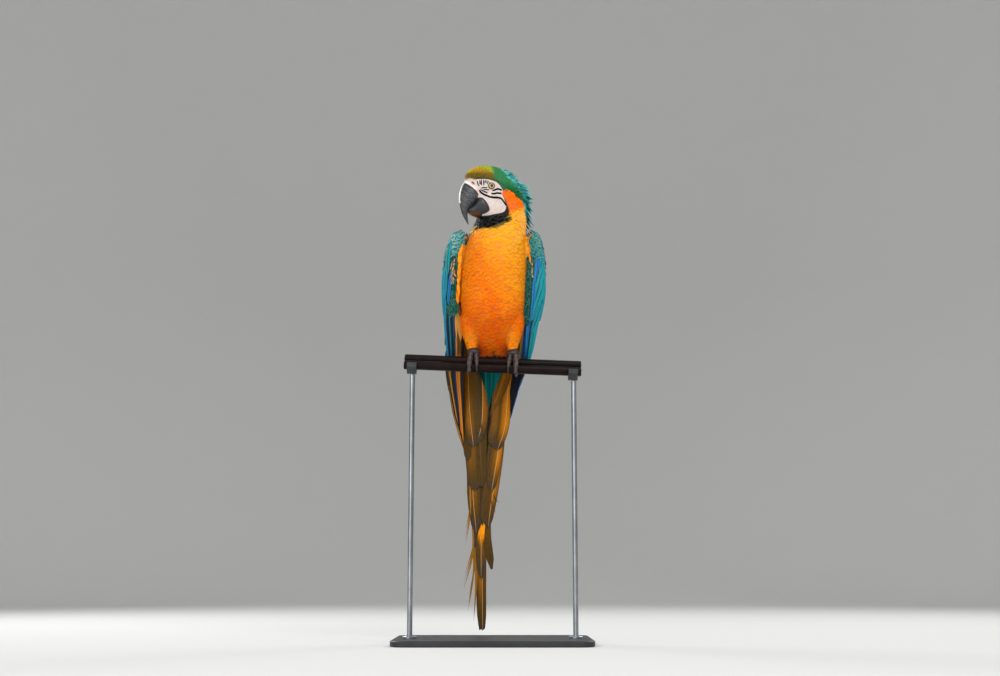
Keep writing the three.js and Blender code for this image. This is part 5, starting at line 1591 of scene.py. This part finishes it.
# Tail feathers from below: the shaft's path as (x, z), the half widths left and right of it, how far each
# stands off the tail's sheet, the warmth of its two sides, the length of its dark tip, and any outline of
# its own.
RECTRICES = [
    ([(-20.3, 8), (-19.8, -230), (-18.8, -400), (-18.2, -466)], (12, 7.6), -11.0, (0.9, 0.1), 4, CUT_TIP),
    ([(-12, 0), (-11, -250), (-9.5, -310), (-3.4, -340), (-0.6, -360.5)], (9.5, 8.0), -8.4, (0.1, 0.15), 14),
    ([(-21, 0), (-21.5, -250), (-21, -376)], (10.5, 10.5), -8.8, (0.1, 0.65), 26),
    ([(-33.4, 0), (-33.4, -322)], (4.5, 4.5), -8.0, (0.1, 0.0), 30),
    ([(-38, 0), (-37, -225), (-30, -297)], (11, 14), -6.6, (0.15, 0.35), 22),
    ([(-6, 0), (-9, -180), (-15, -288)], (13, 12), -7.5, (0.0, 0.0), 10),
    ([(24, 0), (14, -130), (7, -191), (-5.6, -268), (-7.4, -287)], (21, 9.4), -5.8, (0.15, 0.75), 16),
    ([(24, 0), (12.3, -138), (-1.7, -225)], (14, 8.4), -4.2, (0.3, 0.8), 14),
    ([(-44, 4), (-41, -120), (-34, -223)], (12.5, 20), -3.4, (0.3, 0.2), 14),
    ([(-50, 8), (-50, -60), (-47.5, -120), (-45, -172)], (9, 9), -3.0, (0.0, 0.0), 10),
    ([(-20.3, 4), (-20.3, -217)], (9, 9), -2.6, (0.0, 0.0), 10),
    ([(29.5, 12), (27.4, -33), (25, -72), (20.4, -117), (8.4, -153)], (29, 8.4), -1.6, (0.9, 1.0), 12),
    ([(-44.5, 8), (-44, -30.5), (-41.2, -90.4), (-36.4, -132.5), (-34.6, -147)], (12.5, 21), -1.0,
     (0.5, 0.2), 12),
    ([(-20, 4), (-18, -70), (-20, -108), (-25, -131.6)], (12, 10.5), 0.0, (0.0, 0.35), 14),
    ([(31, 11), (16, -45), (-7.6, -97)], (10, 10), 0.5, (0.4, 0.2), 8, POINTED_TIP),
]


def rectrix_colour(warmth, tip_share, halves):
    """A tail feather from below: olive brown, golden at the shaft, grey at its rim and tip; blue above."""
    def colour(t, s, below, index, number):
        warm = np.where(s < 0, warmth[0], warmth[1])
        reach = np.abs(s) * np.where(s < 0, halves[0], halves[1])
        olive = blend("tail olive", "tail brown", smooth(reach, 5, 15))
        olive = blend(olive, "tail brown", 0.5 * smooth(t, 0.3, 0.9))
        glow = warm * (1 - 0.75 * smooth(reach, 3.5, 10)) * (1 - smooth(t, 0.72, 0.95))
        rgb = blend(olive, "tail gold", glow)
        rgb = blend(rgb, "tail dark", 0.7 * warm * np.exp(-((reach - 11) / 3.5) ** 2))
        rgb = blend(rgb, "tail grey", np.maximum(smooth(np.abs(s), 0.8, 0.97) * 0.75,
                                                 smooth(t, 1 - tip_share, 1 - tip_share * 0.5)))
        rgb = rgb * (1 + 0.14 * (number - 0.5))[..., None]
        above = blend("deep blue", "web", 0.6 * smooth(np.abs(s), 0.4, 0.9))
        above = blend(above, "tail grey", smooth(t, 0.93, 0.99))
        return np.where(below[..., None], above, rgb)
    return colour


def tail_vane(vanes, path, halves, rise, outline, colour, rng, uv, camber=0.03, jag=0.05, notch=0.0,
              plain=False):
    x, z = np.array(path, float).T
    steps = np.concatenate([[0], np.cumsum(np.hypot(np.diff(x), np.diff(z)))])
    t = np.linspace(0, 1, vanes.rows)
    along_x, along_z = (curve(list(zip(steps / steps[-1], v)))(t) for v in (x, z))
    s, b = tail_local(along_x, along_z)
    s, b = s[None, :], b[None, :]
    centre, normal = TAIL_SHEET.point(s, b), TAIL_SHEET.normal(s, b)
    across = unit(np.cross(normal, unit(np.gradient(centre, axis=1))))
    across = across * np.sign(across[..., :1])
    rise = np.broadcast_to(rise, (1, vanes.rows))
    vanes.add(centre, normal, across, np.array([halves], float), outline, rise, colour, uv, rng,
              camber=camber, jag=jag,
              thick=0.5, notch=notch, plain=plain)


TAIL_WISPS = [
    ([(-42, -150), (-41.5, -184), (-41, -250), (-50, -304)], 1.9, -6.9),
    ([(-36, -250), (-35.5, -320), (-53, -380)], 1.7, -8.4),
    ([(-33, -270), (-34.5, -356), (-46, -420)], 1.6, -9.6),
    ([(-30, -300), (-30, -380), (-35, -436)], 2.0, -10.4),
]
TAIL_BARBS = [([(2, -232), (5, -239), (14.3, -246)], 0.5, -4.9),
              ([(-3, -240), (0.8, -254), (6.8, -263)], 0.5, -5.2)]


def make_tail():
    rng = np.random.default_rng(53)
    vanes = Vanes(22, 11)
    for k, (path, halves, rise, warmth, dark_tip, *own) in enumerate(RECTRICES):
        outline = own[0] if own else RECTRIX_TIP
        share = dark_tip / math.dist(path[0], path[-1])
        uv = np.array([[0.08 + 0.06 * k, 0.5]])
        tail_vane(vanes, path, halves, rise, outline, rectrix_colour(warmth, share, halves), rng, uv,
                  notch=7.0 if outline is CUT_TIP else 0.0,
                  plain=max(warmth) < 0.31 or outline is POINTED_TIP)
    vanes.build("tail_feathers", "tail", "olive_tail", "tail")
    wisps = Vanes(12, 3)
    amber = strip_colour("tan dark", colour_of("under gold") * 0.7, "back")
    for k, (path, half, rise) in enumerate(TAIL_WISPS):
        for shift in (-2.2, 0.0, 2.0):
            moved = [(x + shift * (1.2 - 0.4 * i), z + 6 * shift) for i, (x, z) in enumerate(path)]
            tail_vane(wisps, moved, (half, half), rise - 0.2 * shift, WISP_TIP, amber, rng,
                      np.array([[0.9, 0.1 + 0.1 * k]]))
    fluff = strip_colour("gold light", "gold", "back")
    for k, shift in enumerate((-5.2, -3.4, -1.6, 0, 1.6, 3.4, 5.2)):
        path = [(-17.5 + shift * 0.6, -268), (-20.5 + shift, -295),
                (-22 + shift * 1.1, -318 - 3 * (k % 3) + abs(shift))]
        tail_vane(wisps, path, (1.3, 1.3), -7.9 + 0.1 * k, WISP_TIP, fluff, rng, np.array([[0.8, 0.1 * k]]),
                  jag=0.5)
    for path, half, rise in TAIL_BARBS:
        tail_vane(wisps, path, (half, half), rise, WISP_TIP, strip_colour("web", "web", "web"), rng,
                  np.array([[0.85, 0.5]]))
    wisps.build("tail_wisps", "down", "olive_tail")
    make_tail_coverts(rng)


VENT_MIDDLE, VENT_TIP = -4.0, (-8.6, -84.0)


def make_tail_coverts(rng):
    """The long turquoise feathers under the tail's root, and those over it."""
    coverts = Vanes(12, 5)
    teal = strip_colour("vent light", "vent teal", "back", vary=0.3)
    shade = strip_colour("vent teal", "vent dark", "back", vary=0.3)
    for k in range(58):
        place_on = rng.uniform(-1, 1)
        x = VENT_MIDDLE + 23 * place_on
        reach = rng.uniform(0.35, 1.0) if k > 14 else 1.0
        low = -14 + (VENT_TIP[1] + 14 + 62 * abs(place_on) ** 1.1) * reach
        low = min(low, -12)
        near = (low + 14) / (VENT_TIP[1] + 14)
        tip_x = x + (VENT_TIP[0] - x) * 0.78 * near
        path = [(x, 6), (x + (tip_x - x) * 0.35, 6 + (low - 6) * 0.45), (tip_x, low)]
        t = np.linspace(0, 1, 12)
        rise = np.interp(t, [0, 0.3, 1], [12, 9, 2.0 + 3.4 * (1 - reach)]) + 0.5 * rng.random()
        # painted shadow: the short coverts on the bird's right near the top, under the belly, take the darker
        # colours
        dark = x < -12 + 8 * rng.random() and low > -60
        tail_vane(coverts, path, (2.3, 2.3), rise[None, :], LANCE_TIP, shade if dark else teal, rng,
                  np.array([[0.5 + 0.4 * place_on, 0.3]]), camber=0.15, jag=0.15)
    upper = strip_colour("teal", "back", "vent teal", vary=0.2)
    layers = ((9, 15, 110, 50), (8, 15, 92, 42), (8, 16, 70, 30))
    for layer, (count, width, reach, shorter) in enumerate(layers):
        share = np.linspace(-1, 1, count)
        root = np.stack([np.full(count, -4.0), share * width], -1)
        tip = np.stack([reach - shorter * np.abs(share), share * width * 0.45], -1)
        centre, normal, across, _, _ = along_sheet(TAIL_SHEET, 12, root, tip)
        t = np.linspace(0, 1, 12)
        rise = (np.interp(t, [0, 0.2, 1], [-11, -17.5 - layer, -15.5 - layer])[None, :]
                - 0.5 * (np.arange(count) % 3)[:, None])
        uv = np.stack([0.5 + share * 0.4, np.full(count, 0.6 + 0.1 * layer)], -1)
        coverts.add(centre, -normal, -across, 5.6, SOFT_TIP, -rise, upper, uv, rng, camber=0.1, jag=0.15)
    coverts.build("tail_coverts", "down", "turquoise_plumage")


# ---- bill, eyes and nostrils
# The upper bill: its ridge and its cutting edge, both (forward, up), and its half width, from base to point.
UPPER_BILL = [
    ((35, 5), (11, -20), 14), ((42, 1), (15.5, -25.5), 15.4), ((47, -6.5), (19, -29), 15.2),
    ((50.5, -16), (23, -33.5), 14), ((52.2, -27), (28, -39), 12), ((51.8, -38.5), (32.6, -43.6), 9.6),
    ((49.2, -50), (36, -50), 7), ((45, -60.5), (37.4, -58), 4.6), ((40.2, -68.6), (36.6, -66), 2.5),
    ((36, -75), (35, -74.2), 0.8),
]
LOWER_BILL = [
    (2.0, -42, -56, 15.6), (5.2, -33.5, -60, 18.2), (10.5, -25.5, -61.4, 19), (16, -21.5, -61.2, 18.6),
    (21.5, -25, -60.2, 16.4), (27, -37.5, -58.6, 12.8), (32, -43, -56.4, 9), (36.5, -47.5, -53, 4.6),
]
CERE_END = 1.5  # the bill's white base ends at this row of the table


def wobble(a, b, seed=0.0):
    """An uneven field between -1 and 1, for flaking and wear."""
    return (np.sin(a * 1.7 + 2.3 * np.sin(b * 0.9 + seed)) * np.sin(b * 1.3 + 1.7 * np.sin(a * 0.6 - seed))
            + 0.5 * np.sin(a * 4.1 + b * 3.3 + seed)) / 1.5


def make_bill():
    sides = 64
    angles = circle(sides)
    cos, sin = np.cos(angles), np.sin(angles)
    table = np.array([(i, *out, *inner, w) for i, (out, inner, w) in enumerate(UPPER_BILL)], float)
    lines = [curve(list(zip(table[:, 0], table[:, k]))) for k in range(1, 6)]
    rows = np.linspace(0, 9, 120)
    rings, stages, heights = [], [], []
    for i in rows:
        out_f, out_u, in_f, in_u, w = (float(line(i)) for line in lines)
        middle = np.array([(out_f + in_f) / 2, (out_u + in_u) / 2])
        reach = np.array([out_f, out_u]) - middle
        ridge = 1 + 0.035 * np.maximum(0, cos) ** 6
        full = sin * (1 - 0.16 * cos)
        f, u = middle[0] + reach[0] * cos * ridge, middle[1] + reach[1] * cos * ridge
        step = -0.55 * smooth(-i, -CERE_END - 0.12, -CERE_END) * smooth(i, CERE_END - 1.2, CERE_END - 0.1)
        swell = 1 - step / max(w, 2)
        rings.append(at_head(f, w * full * swell, u))
        stages.append(np.full(sides, i))
        heights.append(u)
    upper = loft_object("bill_upper_horn", rings, FINISH["bill"])
    i, u = np.concatenate(stages), np.concatenate(heights)
    turn = np.tile(np.abs((angles + math.pi) % (2 * math.pi) - math.pi), len(rows))
    width = np.interp(i, table[:, 0], table[:, 5]) * np.sin(np.minimum(turn, math.pi / 2))
    flake = wobble(i * 6, turn * 5)
    horn = blend(tone("26272a"), tone("5c5d62"), np.clip(0.3 + 0.6 * flake, 0, 1) * 0.6)
    # paler streaks towards the base: painted streaks of shine, partly scuffed horn
    horn = blend(horn, tone("8d8e92"),
                 0.6 * smooth(wobble(i * 11, turn * 9, 2.0), 0.35, 0.7) * smooth(-i, -7, -3))
    # a pale band along the upper bill's outer rim: partly worn pale horn, partly a painted highlight from the
    # light behind
    wear_and_highlight = (smooth(-(width - 3.9 - 0.9 * flake), -0.6, 0.6) * (turn < math.pi / 2)
            * smooth(u + 4 * flake, -41, -36))
    colour = blend(horn, tone("c6bfb8"), wear_and_highlight)
    cere = blend("bare", "bare pink", smooth(turn, 0.5, 1.4) * 0.5)
    colour = blend(colour, tone("141416"),
                   smooth(i, CERE_END - 0.1, CERE_END) * smooth(-i, -CERE_END - 0.5, -CERE_END)
                   * smooth(width, 3, 5))
    colour = blend(colour, cere, smooth(-(i + 0.06 * flake), -CERE_END, -CERE_END + 0.1))
    paint_points(upper, blend(colour, tone("0c0c0e"), smooth(turn, 2.75, 3.05)))
    place(upper, "bill", "bill_upper")
    table = np.array([(i, *row) for i, row in enumerate(LOWER_BILL)], float)
    lines = [curve(list(zip(table[:, 0], table[:, k]))) for k in range(1, 5)]
    rings = []
    rows = np.linspace(0, 7, 56)
    for i in rows:
        f, top, bottom, w = (float(line(i)) for line in lines)
        rings.append(at_head(np.full_like(cos, f), w * sin * (1 - 0.16 * cos),
                             (top + bottom) / 2 + (bottom - top) / 2 * cos))
    lower = loft_object("bill_lower_horn", rings, FINISH["bill"])
    i, turn = np.repeat(rows, sides), np.tile(np.abs((angles + math.pi) % (2 * math.pi) - math.pi), len(rows))
    flake = wobble(i * 5, turn * 5, 1.0)
    horn = blend(tone("1d2022"), tone("3d4145"), np.clip(0.3 + 0.6 * flake, 0, 1) * 0.6)
    horn = blend(horn, tone("6b3a14"), 0.9 * smooth(-turn, -1.05, -0.6) * smooth(i, 2.4, 4.2))
    paint_points(lower, horn)
    place(lower, "bill", "bill_lower")
    BODY["bill"] = Ground(upper.data)


EYE_RADIUS, EYE_F, EYE_L, EYE_U = 6.4, 0.7, 18.8, -8.0
EYE_TURN = math.radians(10)  # how far each eye looks forward of straight out
EYE_RINGS = (0.43, 0.68)  # the angles off the eye's axis where the pupil and the iris end
LID_RINGS = (  # radius round the eye's axis, how far out, thickness, and colour
    (4.85, 4.3, 0.75, "15110d"), (6.1, 3.95, 0.8, "b5a398"), (7.4, 3.2, 0.7, "d6c6bd"),
)


def torus(centre, first, second, radii, tube, out, sides=12, steps=64):
    """Points and faces of an oval ring round centre, in the plane of first and second."""
    around = circle(sides)
    points, polygons = [], []
    for angle in circle(steps):
        radial = first * math.cos(angle) + second * math.sin(angle)
        core = centre + first * math.cos(angle) * radii[0] + second * math.sin(angle) * radii[1]
        wide = tube * (1 + 0.08 * math.sin(angle * 17))
        points.append(core + np.outer(np.cos(around), radial) * wide + np.outer(np.sin(around), out) * wide)
    for i in range(steps):
        for j in range(sides):
            a, b = i * sides + j, i * sides + (j + 1) % sides
            c, d = (i + 1) % steps * sides + (j + 1) % sides, (i + 1) % steps * sides + j
            polygons.append((a, b, c, d))
    return np.concatenate(points), polygons


def make_eyes():
    for label, side in SIDES.items():
        outward = LEFTWARD * side * math.cos(EYE_TURN) + FORWARD * math.sin(EYE_TURN)
        ahead = FORWARD * math.cos(EYE_TURN) - LEFTWARD * side * math.sin(EYE_TURN)
        centre = at_head(EYE_F, side * EYE_L, EYE_U)
        sides = 64
        turn = circle(sides)
        tilts = np.concatenate([np.linspace(0.02, 1.0, 48), np.linspace(1.06, math.pi - 0.05, 20)])
        rings = []
        for tilt in tilts:
            bulge = 1.06 if tilt < 0.5 else 1.0 + 0.06 * float(smooth(-tilt, -0.75, -0.5))
            out, wide = EYE_RADIUS * math.cos(tilt) * bulge, EYE_RADIUS * math.sin(tilt)
            rings.append(centre + outward * out + np.outer(np.cos(turn), ahead) * wide
                         + np.outer(np.sin(turn), UP) * wide)
        made = loft_object(f"eyeball_{label}", rings, FINISH["eye"])
        tilt, turns = np.repeat(tilts, sides), np.tile(turn, len(tilts))
        spoke = 0.5 + 0.5 * np.sin(turns * 23 + 3 * np.sin(turns * 5))
        iris = blend(tone("e9dc94"), tone("a8934e"), 0.4 * spoke + 0.4 * smooth(tilt, 0.55, 0.7))
        colour = blend(tone("040404"), iris, smooth(tilt, EYE_RINGS[0], EYE_RINGS[0] + 0.03))
        paint_points(made, blend(colour, tone("17130e"), smooth(tilt, EYE_RINGS[1], EYE_RINGS[1] + 0.05)))
        place(made, "eye", f"eye_{label}")
        folds = [torus(centre + outward * out, ahead, UP, (reach, reach), tube, outward)
                 for reach, out, tube, _ in LID_RINGS]
        colours = [tone(ring[-1]) for ring, (own, _) in zip(LID_RINGS, folds) for _ in own]
        lid = make_object(f"eyelids_{label}", *joined(folds), FINISH["skin"])
        paint_points(lid, np.array(colours))
        place(lid, "bare_skin")


def make_nostrils():
    """A dark slit in a raised pink ring on each side of the bill's base; the slit is a dark plug, painted
    shade for the opening.
    """
    top, bottom = np.array([33.4, -1.4]), np.array([30.4, -6.2])
    middle = (top + bottom) / 2
    for label, side in SIDES.items():
        hits = [BODY[name].from_side(side, middle[:1], middle[1:]) for name in ("ground", "bill")]
        spot, normal = max(((w[0], n[0]) for w, n in hits), key=lambda hit: float(hit[0] @ LEFTWARD) * side)
        along = FORWARD * (top - bottom)[0] + UP * (top - bottom)[1]
        along = unit(along - np.dot(along, normal) * normal)
        beside = np.cross(normal, along)
        spot = spot + normal * 0.9
        ring, polygons = torus(spot + normal * 0.2, along, beside, (3.7, 2.3), 0.75, normal)
        turn = circle(24)
        rings = []
        for k in np.linspace(-1, 1, 9):
            wide = math.sqrt(max(0.02, 1 - k * k))
            rings.append(spot + normal * (0.4 + 0.5 * k) + np.outer(np.cos(turn), along) * 3.4 * wide
                         + np.outer(np.sin(turn), beside) * 1.9 * wide)
        plug = np.concatenate(rings)
        made = make_object(f"nostril_{label}", *joined([(ring, polygons), *lofts([rings])]), FINISH["skin"])
        pink = np.broadcast_to(colour_of("bare pink"), ring.shape)
        paint_points(made, np.concatenate([pink, np.broadcast_to(tone("1c0708"), plug.shape)]))
        place(made, "bare_skin")


# ---- feet
BAR_RADIUS = 8.0
BARS = ((5.4, -8.0), (-5.5, -20.1))
TILT = math.radians(2.3)
FOOT_X = 34.0
TOES = {
    "outer_front": (36, 4.6, 6, 4.5, 10), "inner_front": (29, -4.8, -7, 3.9, 9),
    "outer_rear": (-27, 5, 9, 4.4, 10), "inner_rear": (-18, -5, -9, 4.0, 9),
}


def grip(s, r):
    """A point of the line round both bars, r off and s along it from the upper bar's top, and its way out."""
    (uy, uz), (ly, lz) = BARS
    run = math.hypot(uy - ly, uz - lz)
    lean = math.atan2(uy - ly, uz - lz)
    reach = BAR_RADIUS + r
    def at(cy, cz, angle):
        return cy + reach * math.sin(angle), cz + reach * math.cos(angle), angle
    sign = -1 if s >= 0 else 1
    first = math.pi / 2 - lean if s >= 0 else math.pi / 2 + lean
    arc, far = BAR_RADIUS * first, abs(s)
    if far <= arc:
        return at(uy, uz, sign * far / BAR_RADIUS)
    if far <= arc + run:
        k = (far - arc) / run
        a, b = at(uy, uz, sign * first), at(ly, lz, sign * first)
        return a[0] + (b[0] - a[0]) * k, a[1] + (b[1] - a[1]) * k, sign * first
    return at(ly, lz, sign * (first + (far - arc - run) / BAR_RADIUS))


def perch_turned(points):
    """Points turned with the perch's slight tilt."""
    c, s = math.cos(TILT), math.sin(TILT)
    x, z = points[..., 0], points[..., 2]
    return np.stack([c * x + s * z, points[..., 1], -s * x + c * z], -1)


def grip_tube(s0, s1, x0, x1, radius, clear, steps, sides, ripple=None):
    """Rings of a toe or claw along the line round the bars."""
    rings = []
    turn = circle(sides)
    for t in np.linspace(0, 1, steps):
        r = radius(t)
        y, z, angle = grip(s0 + (s1 - s0) * t, r + clear(t))
        out = np.array([0, math.sin(angle), math.cos(angle)])
        bump_up = 1.0 if ripple is None else 1 + ripple(t) * np.maximum(0, np.sin(turn))
        ring = (np.array([x0 + (x1 - x0) * t, y, z]) + np.outer(np.cos(turn) * r, [1, 0, 0])
                + np.outer(np.sin(turn) * r * bump_up, out))
        rings.append(perch_turned(ring))
    return rings


FOOT_RINGS = [
    (3, -1, 4, 10, 6), (7.2, -0.5, 4.8, 11.6, 10), (11.5, 0.5, 6, 10.4, 9.8), (16, 1, 7.5, 7.4, 7),
    (22, 1, 9.5, 5.8, 5.8),
    (27, 1, 11, 5.6, 5.6),
]


def scale_light_and_shade(ripple):
    """Foot scales with painted light: a painted highlight on their ridges and painted shade in the grooves
    between them.
    """
    shade = blend(tone("140e0e"), tone("3d3130"), smooth(ripple, -0.5, 0.6))
    return blend(shade, tone("7a6860"), 0.6 * smooth(ripple, 0.6, 1.1))


def make_feet():
    columns = [curve([(r[0], r[k]) for r in FOOT_RINGS]) for k in range(1, 5)]
    for label, side in SIDES.items():
        parts, tones = [], []
        turn = circle(40)
        core, ripples = [], []
        for z in np.linspace(3, 27, 44):
            dx, y, w, d = (float(c(z)) for c in columns)
            ripple = np.sin(z * 2.4 + 0.8 * np.sin(turn * 3)) * np.sin(turn * 9 + z * 0.9)
            wide = 1 + 0.045 * ripple
            x = side * (FOOT_X + dx) + w * np.cos(turn) * wide
            core.append(perch_turned(np.stack([x, y + d * np.sin(turn) * wide, np.full_like(turn, z)], -1)))
            ripples.append(ripple)
        parts.append(core)
        tones.append(np.concatenate(ripples))
        steps, sides = 72, 24
        for s1, x0, x1, r, _ in TOES.values():
            joints = 3 if abs(s1) > 20 else 2
            def radius(t, r=r, joints=joints):
                knuckle = 1 + 0.13 * math.cos(t * 2 * joints * math.pi)
                return r * (1 - 0.24 * t) * knuckle * (0.6 + 0.4 * min(1, (1.001 - t) * 12))
            ridges = abs(s1) / 2.1 * math.pi
            parts.append(grip_tube(math.copysign(3, s1), s1, side * (FOOT_X + x0), side * (FOOT_X + x1),
                                   radius,
                                   lambda t: 0.3, steps, sides,
                                   lambda t, ridges=ridges: 0.13 * abs(math.sin(t * ridges))))
            along = np.abs(np.sin(np.linspace(0, 1, steps) * ridges)) * 2 - 1
            round_it = circle(sides)
            tones.append((along[:, None] + 0.35 * np.sin(round_it * 5)[None, :]).ravel())
        foot = make_object(f"foot_{label}_scaled", *joined(lofts(parts)), FINISH["foot"])
        paint_points(foot, scale_light_and_shade(np.concatenate(tones)))
        place(foot, "foot_skin", f"foot_{label}")
        for toe, (s1, _, x1, r, reach) in TOES.items():
            way = math.copysign(1, s1)
            base_x = side * (FOOT_X + x1)
            rings = grip_tube(
                s1 - way * 1.5, s1 + way * reach, base_x, base_x - side * 0.6,
                lambda t, r=r: max(0.25, r * 0.62 * (1 - 0.9 * t ** 1.3)),
                lambda t: 1 + 1.2 * (1 - t) + 1.2 * t * t, 22, 16)
            made = loft_object(f"claw_{label}_{toe}_horn", rings, FINISH["claw"])
            place(made, "claw", f"claw_{label}_{toe}")


# ---- perch, stand and stage
def finish_node(name, material):
    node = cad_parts[name]
    node.data.materials.clear()
    node.data.materials.append(material)
    return node


def make_perch():
    for name in ("perch_bar_upper", "perch_bar_lower"):
        node = finish_node(name, FINISH["bar"])
        node.data.shade_smooth()
        edges = node.modifiers.new("crisp", "EDGE_SPLIT")
        edges.split_angle = math.radians(35)


def make_stand():
    finish_node("stand_base", FINISH["stand"])
    for label in SIDES:
        finish_node(f"stand_saddle_{label}", FINISH["stand"])
        finish_node(f"stand_rod_{label}", FINISH["steel"])


CAMERA_PLACE, CAMERA_PITCH = (0.012, -2.374, 0.113), 9.7  # metres, and degrees up from level
LENS, SENSOR = 50, 36  # millimetres
LIGHTS_AIM = (0, 0, 0.5)


def make_stage(settings):
    """A shallow round bowl of a floor with high sides, four soft lights and the camera."""
    floor_mesh = bpy.data.meshes.new("floor")
    flat, bend, high, sides = 3.4, 1.6, 7.0, 64
    profile = [(flat + bend * math.sin(a), bend * (1 - math.cos(a))) for a in np.linspace(0, math.pi / 2, 14)]
    profile.append((flat + bend, high))
    turn = circle(sides)
    points = [(0.0, 0.0, 0.0)] + [(r * math.cos(a), r * math.sin(a), z) for r, z in profile for a in turn]
    polygons = [(0, 1 + j, 1 + (j + 1) % sides) for j in range(sides)]
    for i in range(len(profile) - 1):
        for j in range(sides):
            a, b = 1 + i * sides + j, 1 + i * sides + (j + 1) % sides
            polygons.append((a, a + sides, b + sides, b))
    floor_mesh.from_pydata(points, [], polygons)
    floor_mesh.polygons.foreach_set("use_smooth", [True] * len(polygons))
    material, _, shader = new_material("Studio floor")
    set_shader(shader, Base_Color=(*settings.floor_colour, 1), Roughness=0.9)
    floor_mesh.materials.append(material)
    floor = add_object("floor", floor_mesh)
    world = bpy.data.worlds.new("Studio")
    world.use_nodes = True
    background = world.node_tree.nodes["Background"]
    background.inputs[0].default_value = (1.0, 1.0, 1.0, 1)
    background.inputs[1].default_value = settings.ambient
    bpy.context.scene.world = world
    for name, spot, size, power in (
        ("key", (1.0, -2.2, 2.2), 1.5, settings.key_power),
        ("fill", (-1.3, -2.2, 0.7), 2.0, settings.key_power * 0.55),
        ("left rim", (-1.6, 1.2, 1.6), 1.0, settings.key_power * 0.7),
        ("right rim", (1.6, 1.4, 1.8), 1.0, settings.key_power * 0.55),
    ):
        light = bpy.data.lights.new(name, "AREA")
        light.energy = power
        light.size = size
        made = add_object(name, light)
        made.location = spot
        made.rotation_mode = "QUATERNION"
        made.rotation_quaternion = (Vector(LIGHTS_AIM) - Vector(spot)).to_track_quat("-Z", "Y")
        made.visible_camera = False
    camera = bpy.data.cameras.new("camera")
    camera.lens, camera.sensor_width = LENS, SENSOR
    made = add_object("camera", camera)
    made.location = CAMERA_PLACE
    made.rotation_euler = (math.radians(90 + CAMERA_PITCH), 0, 0)
    bpy.context.scene.camera = made
    bpy.context.scene.view_settings.view_transform = "Standard"


# ---- add-on
class MACAW_PG_stage(bpy.types.PropertyGroup):
    floor_colour: bpy.props.FloatVectorProperty(
        name="Floor Colour", description="Colour of the plain floor and backdrop", subtype="COLOR", size=3,
        default=(0.6, 0.6, 0.59), min=0, max=1)
    ambient: bpy.props.FloatProperty(
        name="Ambient Light", description="Strength of the even light from all round", default=0.78, min=0)
    key_power: bpy.props.FloatProperty(
        name="Key Power", description="Power of the largest soft light", default=50, min=0, unit="POWER")


class MACAW_OT_skin(bpy.types.Operator):
    """Fuse trunk, head, thighs and wing flesh into one skin"""
    bl_idname = "macaw.skin"
    bl_label = "Skin"

    def execute(self, context):
        make_finishes()
        make_skin()
        for label in SIDES:
            make_cheek(label)
        return {"FINISHED"}


class MACAW_OT_coat(bpy.types.Operator):
    """Grow the small feathers of the face, head, neck and body"""
    bl_idname = "macaw.coat"
    bl_label = "Body Feathers"

    def execute(self, context):
        make_head_coat()
        make_body_coat()
        make_hackles()
        make_face_lines()
        return {"FINISHED"}


class MACAW_OT_wings(bpy.types.Operator):
    """Lay the flight feathers and coverts on both wings"""
    bl_idname = "macaw.wings"
    bl_label = "Wings"

    def execute(self, context):
        for label in SIDES:
            make_wing(label)
        return {"FINISHED"}


class MACAW_OT_tail(bpy.types.Operator):
    """Lay the tail feathers and their coverts"""
    bl_idname = "macaw.tail"
    bl_label = "Tail"

    def execute(self, context):
        make_tail()
        return {"FINISHED"}


class MACAW_OT_head_parts(bpy.types.Operator):
    """Model the bill, the nostrils, the eyes and the lids"""
    bl_idname = "macaw.head_parts"
    bl_label = "Bill and Eyes"

    def execute(self, context):
        make_bill()
        make_eyes()
        make_nostrils()
        return {"FINISHED"}


class MACAW_OT_feet(bpy.types.Operator):
    """Model the scaled toes and the claws"""
    bl_idname = "macaw.feet"
    bl_label = "Feet"

    def execute(self, context):
        make_feet()
        return {"FINISHED"}


class MACAW_OT_perch(bpy.types.Operator):
    """Paint the perch and the display stand"""
    bl_idname = "macaw.perch"
    bl_label = "Perch and Stand"

    def execute(self, context):
        make_perch()
        make_stand()
        return {"FINISHED"}


class MACAW_OT_stage(bpy.types.Operator):
    """Set the floor, the lights and the camera"""
    bl_idname = "macaw.stage"
    bl_label = "Stage"

    def execute(self, context):
        make_stage(context.scene.macaw_stage)
        return {"FINISHED"}


class MACAW_PT_panel(bpy.types.Panel):
    """Lists the steps that dress the macaw"""
    bl_idname = "MACAW_PT_panel"
    bl_label = "Macaw"
    bl_space_type = "VIEW_3D"
    bl_region_type = "UI"
    bl_category = "Macaw"

    def draw(self, context):
        for operator in OPERATORS:
            self.layout.operator(operator.bl_idname)
        for name in ("floor_colour", "ambient", "key_power"):
            self.layout.prop(context.scene.macaw_stage, name)


OPERATORS = (MACAW_OT_skin, MACAW_OT_coat, MACAW_OT_wings, MACAW_OT_tail, MACAW_OT_head_parts, MACAW_OT_feet,
             MACAW_OT_perch, MACAW_OT_stage)
CLASSES = (MACAW_PG_stage, *OPERATORS, MACAW_PT_panel)


def register():
    for cls in CLASSES:
        bpy.utils.register_class(cls)
    bpy.types.Scene.macaw_stage = bpy.props.PointerProperty(type=MACAW_PG_stage)


def unregister():
    del bpy.types.Scene.macaw_stage
    for cls in reversed(CLASSES):
        bpy.utils.unregister_class(cls)


def main():
    register()
    bpy.ops.macaw.skin()
    bpy.ops.macaw.coat()
    bpy.ops.macaw.wings()
    bpy.ops.macaw.tail()
    bpy.ops.macaw.head_parts()
    bpy.ops.macaw.feet()
    bpy.ops.macaw.perch()
    bpy.ops.macaw.stage()


if __name__ == "__main__":
    main()
